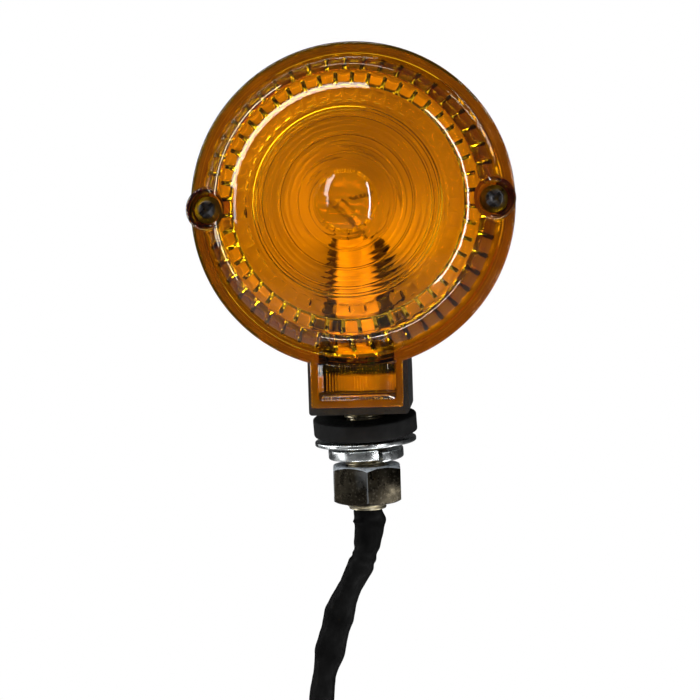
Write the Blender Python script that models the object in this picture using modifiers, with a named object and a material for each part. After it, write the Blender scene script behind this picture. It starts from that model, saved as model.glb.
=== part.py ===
"""Round amber turn signal indicator for a motorcycle, on a hollow threaded stem.

Metres, +Z up. The origin is on the stem's axis, at the bottom face of the housing's neck.
The lens faces -Y. Every object below is one separate piece of the real assembly.
"""
import math

import bmesh
import bpy
from mathutils import Euler, Matrix, Vector

# ---------------------------------------------------------------- driving dimensions
GAP = 0.0003  # clearance left between pieces that touch

LENS_Z = 0.0556  # height of the lens axis
JOINT_Y = -0.0200  # plane of the housing's open front
RIM_R = 0.0430  # outer radius of the lens flange
FLANGE_T = 0.0030
GASKET_T = 0.0010
LENS_WALL = 0.0020
DOME = (  # radius, height above the flange: the outside of the lens, from its centre outward
    (0.0, 0.0155),
    (0.0080, 0.0152),
    (0.0144, 0.0147),
    (0.0245, 0.0133),
    (0.0302, 0.0120),
    (0.0347, 0.0098),
    (0.0372, 0.0062),
    (0.0394, 0.0014),
    (0.0400, 0.0),
)
SKIRT_HALF_W = 0.0123  # the window below the round lens
SKIRT_DROP = 0.0533  # from the lens axis to the window's bottom edge
SKIRT_PROUD = 0.0008  # how far the window stands in front of the flange

EAR_X = 0.0372  # lens screws, either side of the lens axis
EAR_R = 0.0056
EAR_FLOOR = 0.0025  # counterbore floor above the flange
EAR_TOP = ((0.0, 0.0150), (0.0330, 0.0105), (0.0360, 0.0092), (0.0440, 0.0062))
COUNTERBORE_R = 0.0044
LENS_SCREW_R = 0.0019
LENS_SCREW_HEAD_R = 0.0036
LENS_SCREW_HEAD_H = 0.0023

BOWL = (  # radius, depth behind the joint plane: the outside of the housing
    (0.0425, 0.0),
    (0.0425, -0.0030),
    (0.0412, -0.0040),
    (0.0404, -0.0110),
    (0.0378, -0.0180),
    (0.0320, -0.0240),
    (0.0220, -0.0282),
    (0.0100, -0.0301),
    (0.0, -0.0305),
)
HOUSING_WALL = 0.0022
NECK_HALF_W = 0.0135
NECK_FLOOR_T = 0.0060
NECK_CHAMFER = 0.0022
NECK_TOP = 0.0240
NECK_OUTSIDE = ((0.0125, 0.0), (0.0125, 0.0110), (0.0045, NECK_TOP))  # y, z up its back
NECK_INSIDE = ((0.0103, NECK_FLOOR_T), (0.0103, 0.0103), (0.0030, 0.0222), (0.0010, 0.0270))

STEM_R = 0.0060  # M12 thread
STEM_BORE_R = 0.0038
STEM_END = -0.0286
STEM_HEAD_T = 0.0040
HEX_AF = 0.0190

RUBBER = (-0.0020, -0.0068, 0.0148)  # top, bottom, radius
FLAT = (-0.00855, -0.00985, 0.0145)
LOCK_TOP = -0.0108
LOCK_T = 0.0028
LOCK_RISE = 0.0008
LOCK_R = 0.01075
RUBBER_LEAN = Euler((math.radians(6.5), math.radians(-2), 0))  # loose on the stem, the washers hang askew
METAL_LEAN = Euler((math.radians(1.5), math.radians(-2), 0))
NUT = (-0.0160, -0.0266)
HOLE_R = 0.0067  # the washers hang loose on the thread
NUT_BORE_R = 0.0064
NUT_TURN = math.radians(5)

BULB_Y = -0.0100  # the bulb stands upright on this line
BARREL_BOTTOM = 0.0192
BARREL_TOP = 0.0402
BARREL_R = 0.0085
BARREL_WALL = 0.0007
CAP_BOTTOM = 0.0306
CAP_TOP = 0.0474
CAP_R = 0.00750
GLOBE_R = 0.0125
GLOBE_Z = LENS_Z + 0.0048
PIN_Z = CAP_BOTTOM + 0.0062
PIN_R = 0.0010
PIN_REACH = 0.0084
TWIST = 18  # degrees from the lock to the slot
PUSH = 0.0016
BRACKET_SCREW_Z = 0.0162

SLEEVE_R = 0.0036
WIRE_R = 0.0010
SLEEVE_ROUTE = (  # x, y, z along the sleeve, from the stem's end down to its own end
    (0.0000, 0.0, STEM_END - GAP),
    (0.0005, 0.0, -0.0330),
    (-0.0004, -0.0003, -0.0385),
    (-0.0016, -0.0006, -0.0430),
    (-0.0040, -0.0008, -0.0482),
    (-0.0077, -0.0007, -0.0554),
    (-0.0102, -0.0004, -0.0627),
    (-0.0123, 0.0, -0.0700),
    (-0.0140, 0.0002, -0.0775),
    (-0.0152, 0.0002, -0.0850),
    (-0.0158, 0.0, -0.0940),
    (-0.0160, 0.0, -0.1050),
)
HANK_X = -0.0160
HANK_TOP = -0.1053
HANK_LONG = 0.0430
HANK_WIDE = 0.0172
HANK_DEEP = 0.0110
TIE_T = 0.0012
TIE_H = 0.0050
TAIL_OUT = 0.0034  # how far each wire leaves the hank's middle, to its own side
TAIL_LONG = 0.0120
CRIMP_LONG = 0.0110
BULLET_LONG = 0.0110

ROUND = 40  # sides of a large turned piece
SMALL = 20  # sides of a small one

# ---------------------------------------------------------------- scene and materials
for old in list(bpy.data.objects):
    bpy.data.objects.remove(old)

pieces = bpy.data.collections.new("turn_signal_indicator")
cutters = bpy.data.collections.new("cutters")
bpy.context.scene.collection.children.link(pieces)
bpy.context.scene.collection.children.link(cutters)


def material(name, colour, roughness, metallic=0.0, alpha=1.0):
    mat = bpy.data.materials.new(name)
    mat.use_nodes = True
    shader = mat.node_tree.nodes["Principled BSDF"]
    shader.inputs["Base Color"].default_value = (*colour, 1.0)
    shader.inputs["Roughness"].default_value = roughness
    shader.inputs["Metallic"].default_value = metallic
    shader.inputs["Alpha"].default_value = alpha
    mat.diffuse_color = (*colour, alpha)
    return mat


BLACK_PLASTIC = material("black_plastic", (0.012, 0.012, 0.013), 0.35)
AMBER = material("amber_lens", (0.85, 0.30, 0.01), 0.08, alpha=0.6)
RUBBER_BLACK = material("rubber_black", (0.018, 0.018, 0.020), 0.75)
ZINC = material("zinc_plate", (0.55, 0.57, 0.58), 0.35, 1.0)
DARK_ZINC = material("dark_zinc", (0.20, 0.18, 0.15), 0.45, 1.0)
BLACK_SCREW = material("black_screw", (0.02, 0.02, 0.02), 0.4, 1.0)
BRASS = material("brass", (0.70, 0.50, 0.22), 0.3, 1.0)
NICKEL = material("nickel", (0.66, 0.63, 0.58), 0.25, 1.0)
MIRROR = material("reflector_chrome", (0.80, 0.80, 0.80), 0.12, 1.0)
GLASS = material("bulb_glass", (0.95, 0.95, 0.95), 0.02, alpha=0.35)
PHENOLIC = material("phenolic", (0.20, 0.10, 0.05), 0.6)
TUNGSTEN = material("tungsten", (0.30, 0.30, 0.30), 0.4, 1.0)
PVC = material("pvc_black", (0.014, 0.014, 0.014), 0.45)
WIRE_COLOURS = {
    "live": material("wire_live", (0.03, 0.10, 0.32), 0.5),
    "earth": material("wire_earth", (0.02, 0.16, 0.05), 0.5),
}


# ---------------------------------------------------------------- modelling helpers
def register(obj, name, mat, piece):
    """Names an object and files it as a piece of the assembly or as a cutter."""
    obj.name = name
    obj.data.name = name
    for owner in list(obj.users_collection):
        owner.objects.unlink(obj)
    if piece:
        pieces.objects.link(obj)
        obj.data.materials.clear()
        obj.data.materials.append(mat)
    else:
        cutters.objects.link(obj)
        obj.hide_render = True
        obj.display_type = "WIRE"
    return obj


def smooth(obj, angle=35):
    obj.data.shade_smooth()
    obj.data.set_sharp_from_angle(angle=math.radians(angle))


def block(name, low, high, mat=None):
    """A box between two corners. Without a material it is a cutter."""
    low, high = Vector(low), Vector(high)
    bpy.ops.mesh.primitive_cube_add(size=1, location=(low + high) / 2)
    obj = bpy.context.object
    obj.data.transform(Matrix.Diagonal((high - low).to_4d()))
    return register(obj, name, mat, mat is not None)


def plate(name, outline, half_width):
    """A cutter with a side outline of (y, z), as wide as asked to each side of the YZ plane."""
    curve = bpy.data.curves.new(name, "CURVE")
    curve.dimensions = "2D"
    curve.fill_mode = "BOTH"
    curve.extrude = half_width
    spline = curve.splines.new("POLY")
    spline.points.add(len(outline) - 1)
    spline.use_cyclic_u = True
    for point, (y, z) in zip(spline.points, outline):
        point.co = (y, z, 0, 1)
    flat = bpy.data.objects.new(f"{name}_outline", curve)
    cutters.objects.link(flat)
    depsgraph = bpy.context.evaluated_depsgraph_get()
    mesh = bpy.data.meshes.new_from_object(flat.evaluated_get(depsgraph))
    bm = bmesh.new()
    bm.from_mesh(mesh)
    bmesh.ops.remove_doubles(bm, verts=bm.verts, dist=0.00001)
    bm.to_mesh(mesh)
    bm.free()
    obj = bpy.data.objects.new(name, mesh)
    register(obj, name, None, False)
    obj.rotation_euler = (math.pi / 2, 0, math.pi / 2)
    bpy.data.objects.remove(flat)
    return obj


def rod(name, start, end, radius, mat=None, sides=SMALL, turn=0.0):
    """A cylinder from start to end, or a prism when sides is small."""
    start, end = Vector(start), Vector(end)
    axis = end - start
    bpy.ops.mesh.primitive_cylinder_add(
        vertices=sides, radius=radius, depth=axis.length, location=(start + end) / 2
    )
    obj = bpy.context.object
    obj.rotation_euler = axis.to_track_quat("Z", "Y").to_euler()
    obj.data.transform(Matrix.Rotation(turn, 4, "Z"))
    register(obj, name, mat, mat is not None)
    if sides > 6:
        smooth(obj)
    return obj


def turned(name, profile, mat=None, closed=False, at=(0, 0, 0), tilt=0.0, sides=ROUND):
    """Turns a profile of (radius, height) about the local Z axis."""
    mesh = bpy.data.meshes.new(name)
    obj = bpy.data.objects.new(name, mesh)
    bm = bmesh.new()
    points = [bm.verts.new((radius, 0, height)) for radius, height in profile]
    for first, second in zip(points, points[1:] + points[:1] * closed):
        bm.edges.new((first, second))
    bm.to_mesh(mesh)
    bm.free()
    obj.location = at
    obj.rotation_euler = (tilt, 0, 0)
    register(obj, name, mat, mat is not None)
    screw = obj.modifiers.new("Turn", "SCREW")
    screw.steps = screw.render_steps = sides
    screw.use_merge_vertices = True
    screw.merge_threshold = 0.00001
    screw.use_smooth_shade = True
    return obj


def on_optic_axis(name, profile, mat=None, closed=False, sides=ROUND):
    """Turned about the lens axis: heights count forward from the joint plane."""
    at = (0, JOINT_Y, LENS_Z)
    return turned(name, profile, mat, closed, at, math.pi / 2, sides)


def boolean(obj, other, operation):
    step = obj.modifiers.new(operation.title(), "BOOLEAN")
    step.operation = operation
    step.solver = "EXACT"
    step.object = other


def cut(obj, *others):
    for other in others:
        boolean(obj, other, "DIFFERENCE")


def join(obj, *others):
    for other in others:
        boolean(obj, other, "UNION")


def smooth_route(knots, spacing):
    """Points on a Catmull-Rom curve through the knots, about one spacing apart."""
    knots = [Vector(k) for k in knots]
    ends = [2 * knots[0] - knots[1]] + knots + [2 * knots[-1] - knots[-2]]
    route = []
    for a, b, c, d in zip(ends, ends[1:], ends[2:], ends[3:]):
        steps = max(1, round((c - b).length / spacing))
        for i in range(steps):
            t = i / steps
            route.append(
                0.5
                * (
                    2 * b
                    + (c - a) * t
                    + (2 * a - 5 * b + 4 * c - d) * t**2
                    + (3 * b - a - 3 * c + d) * t**3
                )
            )
    return route + [knots[-1]]


def tube(name, route, radius, mat):
    """A round wire along a route."""
    curve = bpy.data.curves.new(name, "CURVE")
    curve.dimensions = "3D"
    curve.bevel_depth = radius
    curve.bevel_resolution = 2
    curve.use_fill_caps = True
    spline = curve.splines.new("POLY")
    spline.points.add(len(route) - 1)
    for point, place in zip(spline.points, route):
        point.co = (*place, 1)
    obj = bpy.data.objects.new(name, curve)
    return register(obj, name, mat, True)


def forward(x, depth, z):
    """A point given by its distance in front of the joint plane."""
    return (x, JOINT_Y - depth, z)


# ---------------------------------------------------------------- lens and its screws
LENS_BACK = GAP + GASKET_T + GAP
FLANGE_FRONT = LENS_BACK + FLANGE_T
SKIRT_Z = LENS_Z - SKIRT_DROP
EARS = {"left": -EAR_X, "right": EAR_X}


def lens():
    """The moulded dome, its flange, the window below it and the two screw ears."""
    outside = [(radius, FLANGE_FRONT + height) for radius, height in DOME]
    rim = [(RIM_R, FLANGE_FRONT), (RIM_R, LENS_BACK)]
    inside = [
        (max(radius - 0.8 * LENS_WALL, 0), FLANGE_FRONT + max(height - LENS_WALL, -FLANGE_T))
        for radius, height in reversed(DOME)
    ]
    body = on_optic_axis("lens", outside + rim + inside[1:], AMBER)
    top = LENS_Z - RIM_R + 2 * FLANGE_T
    join(
        body,
        block(
            "window_outside",
            forward(-SKIRT_HALF_W, FLANGE_FRONT + SKIRT_PROUD, SKIRT_Z),
            forward(SKIRT_HALF_W, LENS_BACK, top),
        ),
    )
    for side, x in EARS.items():
        boss = rod(f"ear_{side}", forward(x, LENS_BACK, LENS_Z), forward(x, 0.03, LENS_Z), EAR_R)
        limit = [(radius, FLANGE_FRONT + height) for radius, height in EAR_TOP]
        below = [(EAR_TOP[-1][0], 0.0), (0.0, 0.0)]
        boolean(boss, on_optic_axis(f"ear_limit_{side}", limit + below), "INTERSECT")
        join(body, boss)
    half = SKIRT_HALF_W - LENS_WALL
    inner = block(
        "window_inside",
        forward(-half, FLANGE_FRONT + SKIRT_PROUD - LENS_WALL, SKIRT_Z + LENS_WALL),
        forward(half, 0, top + 0.003),
    )
    cut(body, inner)
    for side, x in EARS.items():
        floor = forward(x, FLANGE_FRONT + EAR_FLOOR, LENS_Z)
        far = forward(x, 0.04, LENS_Z)
        near = forward(x, 0, LENS_Z)
        cut(body, rod(f"counterbore_{side}", floor, far, COUNTERBORE_R))
        cut(body, rod(f"screw_hole_{side}", near, far, LENS_SCREW_R + 0.0005))
    return body


def lens_gasket():
    """A flat rubber ring that also runs round the window's edge."""
    front, back = GAP + GASKET_T, GAP
    ring = [(0.0426, front), (0.0426, back), (0.0386, back), (0.0386, front)]
    body = on_optic_axis("lens_gasket", ring, RUBBER_BLACK, closed=True)
    top = LENS_Z - 0.0400
    edge = 0.0002
    join(
        body,
        block(
            "gasket_tongue",
            forward(-SKIRT_HALF_W + edge, front, SKIRT_Z + edge),
            forward(SKIRT_HALF_W - edge, back, top),
        ),
    )
    for side, x in EARS.items():
        join(body, rod(f"gasket_ear_{side}", forward(x, back, LENS_Z), forward(x, front, LENS_Z), 0.0048))
    half = SKIRT_HALF_W - LENS_WALL - edge
    low = SKIRT_Z + LENS_WALL + edge
    cut(body, block("gasket_window", forward(-half, 0.01, low), forward(half, -0.01, top + 0.003)))
    for side, x in EARS.items():
        hole = rod(f"gasket_hole_{side}", forward(x, 0.01, LENS_Z), forward(x, -0.01, LENS_Z), 0.0024)
        cut(body, hole)
    return body


def lens_screw(side, x):
    """A cross-recessed pan head screw through one ear of the lens."""
    seat = FLANGE_FRONT + EAR_FLOOR + GAP
    top = seat + LENS_SCREW_HEAD_H
    edge = 0.0006
    profile = [
        (0.0, top),
        (LENS_SCREW_HEAD_R - 2 * edge, top),
        (LENS_SCREW_HEAD_R, top - 1.5 * edge),
        (LENS_SCREW_HEAD_R, seat),
        (LENS_SCREW_R, seat),
        (LENS_SCREW_R, -0.0085),
        (LENS_SCREW_R / 2, -0.0095),
        (0.0, -0.0095),
    ]
    at = (x, JOINT_Y, LENS_Z)
    body = turned(f"lens_screw_{side}", profile, BLACK_SCREW, False, at, math.pi / 2, SMALL)
    long, thin, deep = 0.0042, 0.0010, 0.0012
    for name, w, h in (("across", long, thin), ("upright", thin, long)):
        slot = block(
            f"recess_{name}_{side}",
            forward(x - w / 2, top + 0.001, LENS_Z - h / 2),
            forward(x + w / 2, top - deep, LENS_Z + h / 2),
        )
        cut(body, slot)
    return body


def screw_insert(side, x):
    """The brass insert that a lens screw bites into."""
    outer, inner, top, bottom = 0.0030, 0.0022, -0.0004, -0.0102
    ring = [(outer, top), (outer, bottom), (inner, bottom), (inner, top)]
    at = (x, JOINT_Y, LENS_Z)
    return turned(f"screw_insert_{side}", ring, BRASS, True, at, math.pi / 2, SMALL)


# ---------------------------------------------------------------- housing
def housing():
    """The bowl behind the lens, with its neck, screw bosses and bracket post."""
    spare = 0.001  # stock in front of the joint plane, faced off at the end
    solid = [(0.0, spare), (BOWL[0][0], spare)] + list(BOWL[1:])
    body = on_optic_axis("housing", solid, BLACK_PLASTIC)
    front = JOINT_Y - spare
    neck = plate("neck", [(front, 0.0), *NECK_OUTSIDE, (front, NECK_TOP)], NECK_HALF_W)

    def low_side_edge(mid):
        return abs(mid.z) > 0.9 * NECK_HALF_W and mid.x > front and mid.y < 0.9 * NECK_TOP

    bevel_edges(neck, low_side_edge)
    join(body, neck)
    mouth_r = BOWL[2][0] - HOUSING_WALL
    hollow = [(0.0, 2 * spare), (mouth_r + 0.0008, 2 * spare), (mouth_r, BOWL[3][1])]
    hollow += [(radius - 0.6 * HOUSING_WALL, depth + HOUSING_WALL) for radius, depth in BOWL[4:-1]]
    cut(body, on_optic_axis("bowl_hollow", hollow + [(0.0, BOWL[-1][1] + HOUSING_WALL)]))
    for side, x in EARS.items():
        start, end = forward(x, spare / 2, LENS_Z), forward(x, -0.0125, LENS_Z)
        boss = rod(f"boss_{side}", start, end, 0.0048)
        limit = [(radius - HOUSING_WALL / 4, depth) for radius, depth in solid[1:-1]]
        limit = [solid[0]] + limit + [(0.0, limit[-1][1])]
        boolean(boss, on_optic_axis(f"boss_limit_{side}", limit), "INTERSECT")
        join(body, boss)
        cut(body, rod(f"boss_bore_{side}", forward(x, 0.01, LENS_Z), forward(x, -0.0105, LENS_Z), 0.0033))
    cut(body, block("facing", (-0.06, JOINT_Y - 0.01, -0.01), (0.06, JOINT_Y, 0.12)))
    ahead = JOINT_Y - 0.01
    inside = [(ahead, NECK_FLOOR_T), *NECK_INSIDE, (ahead, NECK_INSIDE[-1][1])]
    cut(body, plate("neck_chamber", inside, NECK_HALF_W - HOUSING_WALL))
    post = rod("bracket_post", (0, 0.0001, BRACKET_SCREW_Z), (0, 0.0060, BRACKET_SCREW_Z), 0.0034)
    join(body, post)
    cut(
        body,
        rod("post_bore", (0, -0.01, BRACKET_SCREW_Z), (0, 0.0050, BRACKET_SCREW_Z), 0.0018),
        rod("stem_bore", (0, 0, -0.01), (0, 0, NECK_FLOOR_T + 0.003), STEM_R + GAP, sides=ROUND),
    )
    return body


def bevel_edges(obj, wanted):
    """Cuts a flat on each edge whose middle, in the object's own axes, is wanted."""
    bm = bmesh.new()
    bm.from_mesh(obj.data)
    edges = [e for e in bm.edges if wanted((e.verts[0].co + e.verts[1].co) / 2)]
    bmesh.ops.bevel(bm, geom=edges, offset=NECK_CHAMFER, segments=2, profile=0.5, affect="EDGES")
    bm.to_mesh(obj.data)
    bm.free()


def reflector():
    """A thin bright dish behind the bulb, open below for the bulb holder."""
    dish = (
        (0.0391, -0.0012),
        (0.0328, -0.0012),
        (0.0318, -0.0045),
        (0.0280, -0.0130),
        (0.0200, -0.0200),
        (0.0100, -0.0240),
        (0.0, -0.0252),
    )
    body = on_optic_axis("reflector", dish, MIRROR)
    skin = body.modifiers.new("Skin", "SOLIDIFY")
    skin.thickness = 0.0007
    skin.offset = 0
    low, high = LENS_Z - 0.045, LENS_Z - 0.010
    cut(body, block("reflector_slot", (-0.0118, JOINT_Y - 0.01, low), (0.0118, 0.02, high)))
    for side, x in EARS.items():
        cut(body, rod(f"reflector_notch_{side}", forward(x, 0.01, LENS_Z), forward(x, -0.02, LENS_Z), 0.0054))
    return body


# ---------------------------------------------------------------- bulb holder
def bulb_socket():
    """The bayonet barrel, with a slot and a locking leg for each pin of the bulb."""
    inner = BARREL_R - BARREL_WALL
    lip = 0.0050
    ring = [
        (BARREL_R, BARREL_TOP),
        (BARREL_R, BARREL_BOTTOM),
        (lip, BARREL_BOTTOM),
        (lip, BARREL_BOTTOM + BARREL_WALL),
        (inner, BARREL_BOTTOM + BARREL_WALL),
        (inner, BARREL_TOP),
    ]
    body = turned("bulb_socket", ring, NICKEL, True, (0, BULB_Y, 0), 0, ROUND)
    wide = PIN_R + 0.0004
    low, high = PIN_Z - wide - PUSH, PIN_Z + wide
    steps = 3
    for side in (-1, 1):
        for i in range(steps + 1):
            turn = TWIST * i / steps
            top = BARREL_TOP + 0.001 if i == steps else high
            leg = block(f"slot_{side}_{i}", (-wide, 0.004, low), (wide, 0.012, top))
            leg.data.transform(Matrix.Translation(leg.location))
            leg.location = (0, BULB_Y, 0)
            leg.rotation_euler = (0, 0, math.radians(turn - 90 * side))
            cut(body, leg)
    return body


def socket_insulator():
    """The fibre disc at the bottom of the barrel that guides the live contact."""
    low = BARREL_BOTTOM + BARREL_WALL + GAP
    high = low + 0.0020
    outer, inner = BARREL_R - BARREL_WALL - GAP, 0.0014
    ring = [(outer, high), (outer, low), (inner, low), (inner, high)]
    return turned("socket_insulator", ring, PHENOLIC, True, (0, BULB_Y, 0), 0, SMALL)


PLUNGER_TOP = CAP_BOTTOM - 0.0020 - GAP
PLUNGER_HEAD_T = 0.0012
SPRING_BOTTOM = BARREL_BOTTOM + BARREL_WALL + 0.0020 + 2 * GAP
SPRING_TOP = PLUNGER_TOP - PLUNGER_HEAD_T - GAP


def contact_plunger():
    """The sprung brass contact under the bulb."""
    head, stem = 0.0033, 0.0011
    under = PLUNGER_TOP - PLUNGER_HEAD_T
    profile = [
        (0.0, PLUNGER_TOP),
        (head, PLUNGER_TOP),
        (head, under),
        (stem, under),
        (stem, BARREL_BOTTOM - 0.0006),
        (0.0, BARREL_BOTTOM - 0.0006),
    ]
    return turned("contact_plunger", profile, BRASS, False, (0, BULB_Y, 0), 0, SMALL)


def contact_spring():
    """The coil that pushes the contact and the bulb up."""
    wire, radius, turns, per_turn = 0.00025, 0.0021, 3, 10
    low, high = SPRING_BOTTOM + wire, SPRING_TOP - wire
    route = []
    for i in range(turns * per_turn + 1):
        angle = 2 * math.pi * i / per_turn
        height = low + (high - low) * i / (turns * per_turn)
        route.append((radius * math.cos(angle), BULB_Y + radius * math.sin(angle), height))
    return tube("contact_spring", route, wire, NICKEL)


def live_terminal():
    """The tab under the insulator that the live wire is soldered to."""
    top = BARREL_BOTTOM + BARREL_WALL
    low_corner = (0.0026, BULB_Y - 0.0012, top - 0.0032)
    high_corner = (0.0033, BULB_Y + 0.0012, top)
    return block("live_terminal", low_corner, high_corner, BRASS)


BRACKET_FRONT = BULB_Y + BARREL_R + GAP
BRACKET_T = 0.0010


def socket_bracket():
    """The steel strap that carries the barrel on the housing's post."""
    low, high = BRACKET_SCREW_Z - 0.0030, BARREL_TOP - 0.0060
    body = block(
        "socket_bracket",
        (-0.0048, BRACKET_FRONT, low),
        (0.0048, BRACKET_FRONT + BRACKET_T, high),
        NICKEL,
    )
    cut(body, rod("bracket_hole", (0, -0.01, BRACKET_SCREW_Z), (0, 0.01, BRACKET_SCREW_Z), 0.0019))
    return body


EARTH_FRONT = BRACKET_FRONT - GAP - 0.0007


def earth_terminal():
    """The ring terminal under the bracket screw, with its crimp to the left."""
    body = rod(
        "earth_terminal",
        (0, EARTH_FRONT, BRACKET_SCREW_Z),
        (0, BRACKET_FRONT - GAP, BRACKET_SCREW_Z),
        0.0026,
        BRASS,
    )
    low, high = BRACKET_SCREW_Z - 0.0010, BRACKET_SCREW_Z + 0.0010
    join(body, block("earth_tail", (-0.0066, EARTH_FRONT, low), (-0.0010, BRACKET_FRONT - GAP, high)))
    cut(body, rod("earth_hole", (0, -0.01, BRACKET_SCREW_Z), (0, 0.01, BRACKET_SCREW_Z), 0.0018))
    return body


def bracket_screw():
    """The screw that clamps the bracket and the earth terminal to the post."""
    seat = -(EARTH_FRONT - GAP)
    profile = [
        (0.0, seat + 0.0016),
        (0.0018, seat + 0.0015),
        (0.0025, seat + 0.0008),
        (0.0025, seat),
        (0.0015, seat),
        (0.0015, -0.0044),
        (0.0, -0.0044),
    ]
    at = (0, 0, BRACKET_SCREW_Z)
    return turned("bracket_screw", profile, ZINC, False, at, math.pi / 2, SMALL)


# ---------------------------------------------------------------- bulb
def bulb_cap():
    """The metal bayonet base, a thin cup that is open above."""
    floor = CAP_BOTTOM
    inner = CAP_R - 0.0004
    profile = [
        (inner, CAP_TOP),
        (CAP_R, CAP_TOP),
        (CAP_R, floor + 0.0012),
        (CAP_R - 0.0012, floor),
        (0.0034, floor),
        (0.0034, floor + 0.0006),
        (inner - 0.0012, floor + 0.0006),
        (inner, floor + 0.0018),
    ]
    body = turned("bulb_cap", profile, NICKEL, True, (0, BULB_Y, 0), 0, SMALL)
    for side in (-1, 1):
        start = (side * 0.006, BULB_Y, PIN_Z)
        end = (side * 0.010, BULB_Y, PIN_Z)
        cut(body, rod(f"pin_hole_{side}", start, end, PIN_R + GAP, sides=12))
    return body


def bulb_pin(side, direction):
    """One of the two bayonet pins."""
    start = (direction * (CAP_R - 0.0006), BULB_Y, PIN_Z)
    end = (direction * PIN_REACH, BULB_Y, PIN_Z)
    return rod(f"bulb_pin_{side}", start, end, PIN_R, BRASS, sides=12)


def bulb_insulator():
    """The dark glass button in the bottom of the base, round the contact."""
    high, low = CAP_BOTTOM + 0.0022, CAP_BOTTOM - 0.0004
    outer, inner = 0.0031, 0.0017
    ring = [(outer, high), (outer, low), (inner, low), (inner, high)]
    return turned("bulb_insulator", ring, PHENOLIC, True, (0, BULB_Y, 0), 0, SMALL)


def bulb_contact():
    """The solder tip under the bulb."""
    low = CAP_BOTTOM - 0.0020
    top = CAP_BOTTOM + 0.0020
    profile = [(0.0, top), (0.0014, top), (0.0014, low + 0.0006), (0.0, low)]
    return turned("bulb_contact", profile, NICKEL, False, (0, BULB_Y, 0), 0, SMALL)


def bulb_glass():
    """The clear globe with its neck down inside the base."""
    neck_r, wall = CAP_R - 0.0008, 0.0006
    neck_low = CAP_TOP - 0.0040
    start = -math.asin(neck_r / GLOBE_R) + math.pi
    steps = 14
    arc = [math.pi * i / steps for i in range(steps) if math.pi * i / steps < start - 0.25]
    outside = [(GLOBE_R * math.sin(a), GLOBE_Z + GLOBE_R * math.cos(a)) for a in arc]
    outside += [(neck_r, CAP_TOP + 0.0012), (neck_r, neck_low)]
    small = GLOBE_R - wall
    inside = [(small * math.sin(a), GLOBE_Z + small * math.cos(a)) for a in reversed(arc)]
    inside = [(neck_r - wall, neck_low), (neck_r - wall, CAP_TOP + 0.0012)] + inside
    return turned("bulb_glass", outside + inside, GLASS, False, (0, BULB_Y, 0), 0, SMALL)


POST_X = 0.0032
FILAMENT_Z = LENS_Z + 0.0030
PINCH_TOP = CAP_TOP + 0.0030


def glass_pinch():
    """The glass mount that holds the filament's support wires."""
    low = CAP_TOP - 0.0060
    shoulder = (0.0024, PINCH_TOP - 0.0004)
    profile = [(0.0, PINCH_TOP), shoulder, (0.0046, low + 0.001), (0.0050, low), (0.0, low)]
    return turned("glass_pinch", profile, GLASS, False, (0, BULB_Y, 0), 0, SMALL)


def filament_post(side, direction):
    """A nickel wire from the glass mount up to one end of the filament."""
    start = Vector((direction * 0.0012, BULB_Y, PINCH_TOP + GAP))
    end = Vector((direction * POST_X, BULB_Y, FILAMENT_Z))
    return rod(f"filament_post_{side}", start, end, 0.00035, NICKEL, sides=8)


def filament():
    """The tungsten coil, as one fat bowed wire between the posts."""
    half = POST_X - 0.0004 - GAP
    route = [(half * i / 4, BULB_Y, FILAMENT_Z + 0.0010 * (1 - (i / 4) ** 2)) for i in range(-4, 5)]
    return tube("filament", route, 0.0004, TUNGSTEN)


# ---------------------------------------------------------------- stem and its hardware
def stem_bolt():
    """The hollow threaded stem, its hexagon head seated inside the neck."""
    low = NECK_FLOOR_T + GAP
    corner = HEX_AF / math.sqrt(3)
    head = rod("stem_bolt", (0, 0, low), (0, 0, low + STEM_HEAD_T), corner, ZINC, sides=6, turn=math.pi / 2)
    shank = rod("stem_shank", (0, 0, STEM_END), (0, 0, low + STEM_HEAD_T / 2), STEM_R, sides=ROUND)
    join(head, shank)
    cut(head, rod("stem_passage", (0, 0, STEM_END - 0.01), (0, 0, 0.02), STEM_BORE_R))
    return head


def washer(name, top, bottom, radius, mat, lean):
    """A flat ring that leans on the stem, its profile measured from its own middle."""
    edge = 0.0004
    half = (top - bottom) / 2
    ring = [
        (HOLE_R, half),
        (radius - edge, half),
        (radius, half - edge),
        (radius, edge - half),
        (radius - edge, -half),
        (HOLE_R, -half),
    ]
    body = turned(name, ring, mat, True, at=(0, 0, (top + bottom) / 2), sides=ROUND)
    body.rotation_euler = lean
    return body


def lock_washer():
    """A split spring washer: a square section swept almost once round, rising as it goes."""
    steps = 36
    sweep = math.radians(353)
    inner, outer = HOLE_R, LOCK_R
    bottom = -(LOCK_T + LOCK_RISE) / 2
    bm = bmesh.new()
    corners = [(inner, bottom), (outer, bottom), (outer, bottom + LOCK_T), (inner, bottom + LOCK_T)]
    face = bm.faces.new([bm.verts.new((radius, 0, height)) for radius, height in corners])
    bmesh.ops.spin(
        bm,
        geom=[face, *face.edges, *face.verts],
        axis=(0, 0, 1),
        cent=(0, 0, 0),
        dvec=(0, 0, LOCK_RISE / steps),
        angle=sweep,
        steps=steps,
        use_merge=False,
    )
    bmesh.ops.recalc_face_normals(bm, faces=bm.faces)
    mesh = bpy.data.meshes.new("lock_washer")
    bm.to_mesh(mesh)
    bm.free()
    obj = bpy.data.objects.new("lock_washer", mesh)
    register(obj, "lock_washer", ZINC, True)
    obj.location = (0, 0, LOCK_TOP + bottom)
    split = Matrix.Rotation(math.radians(-60), 3, "Z")
    obj.rotation_euler = (METAL_LEAN.to_matrix() @ split).to_euler()
    smooth(obj)
    return obj


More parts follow.
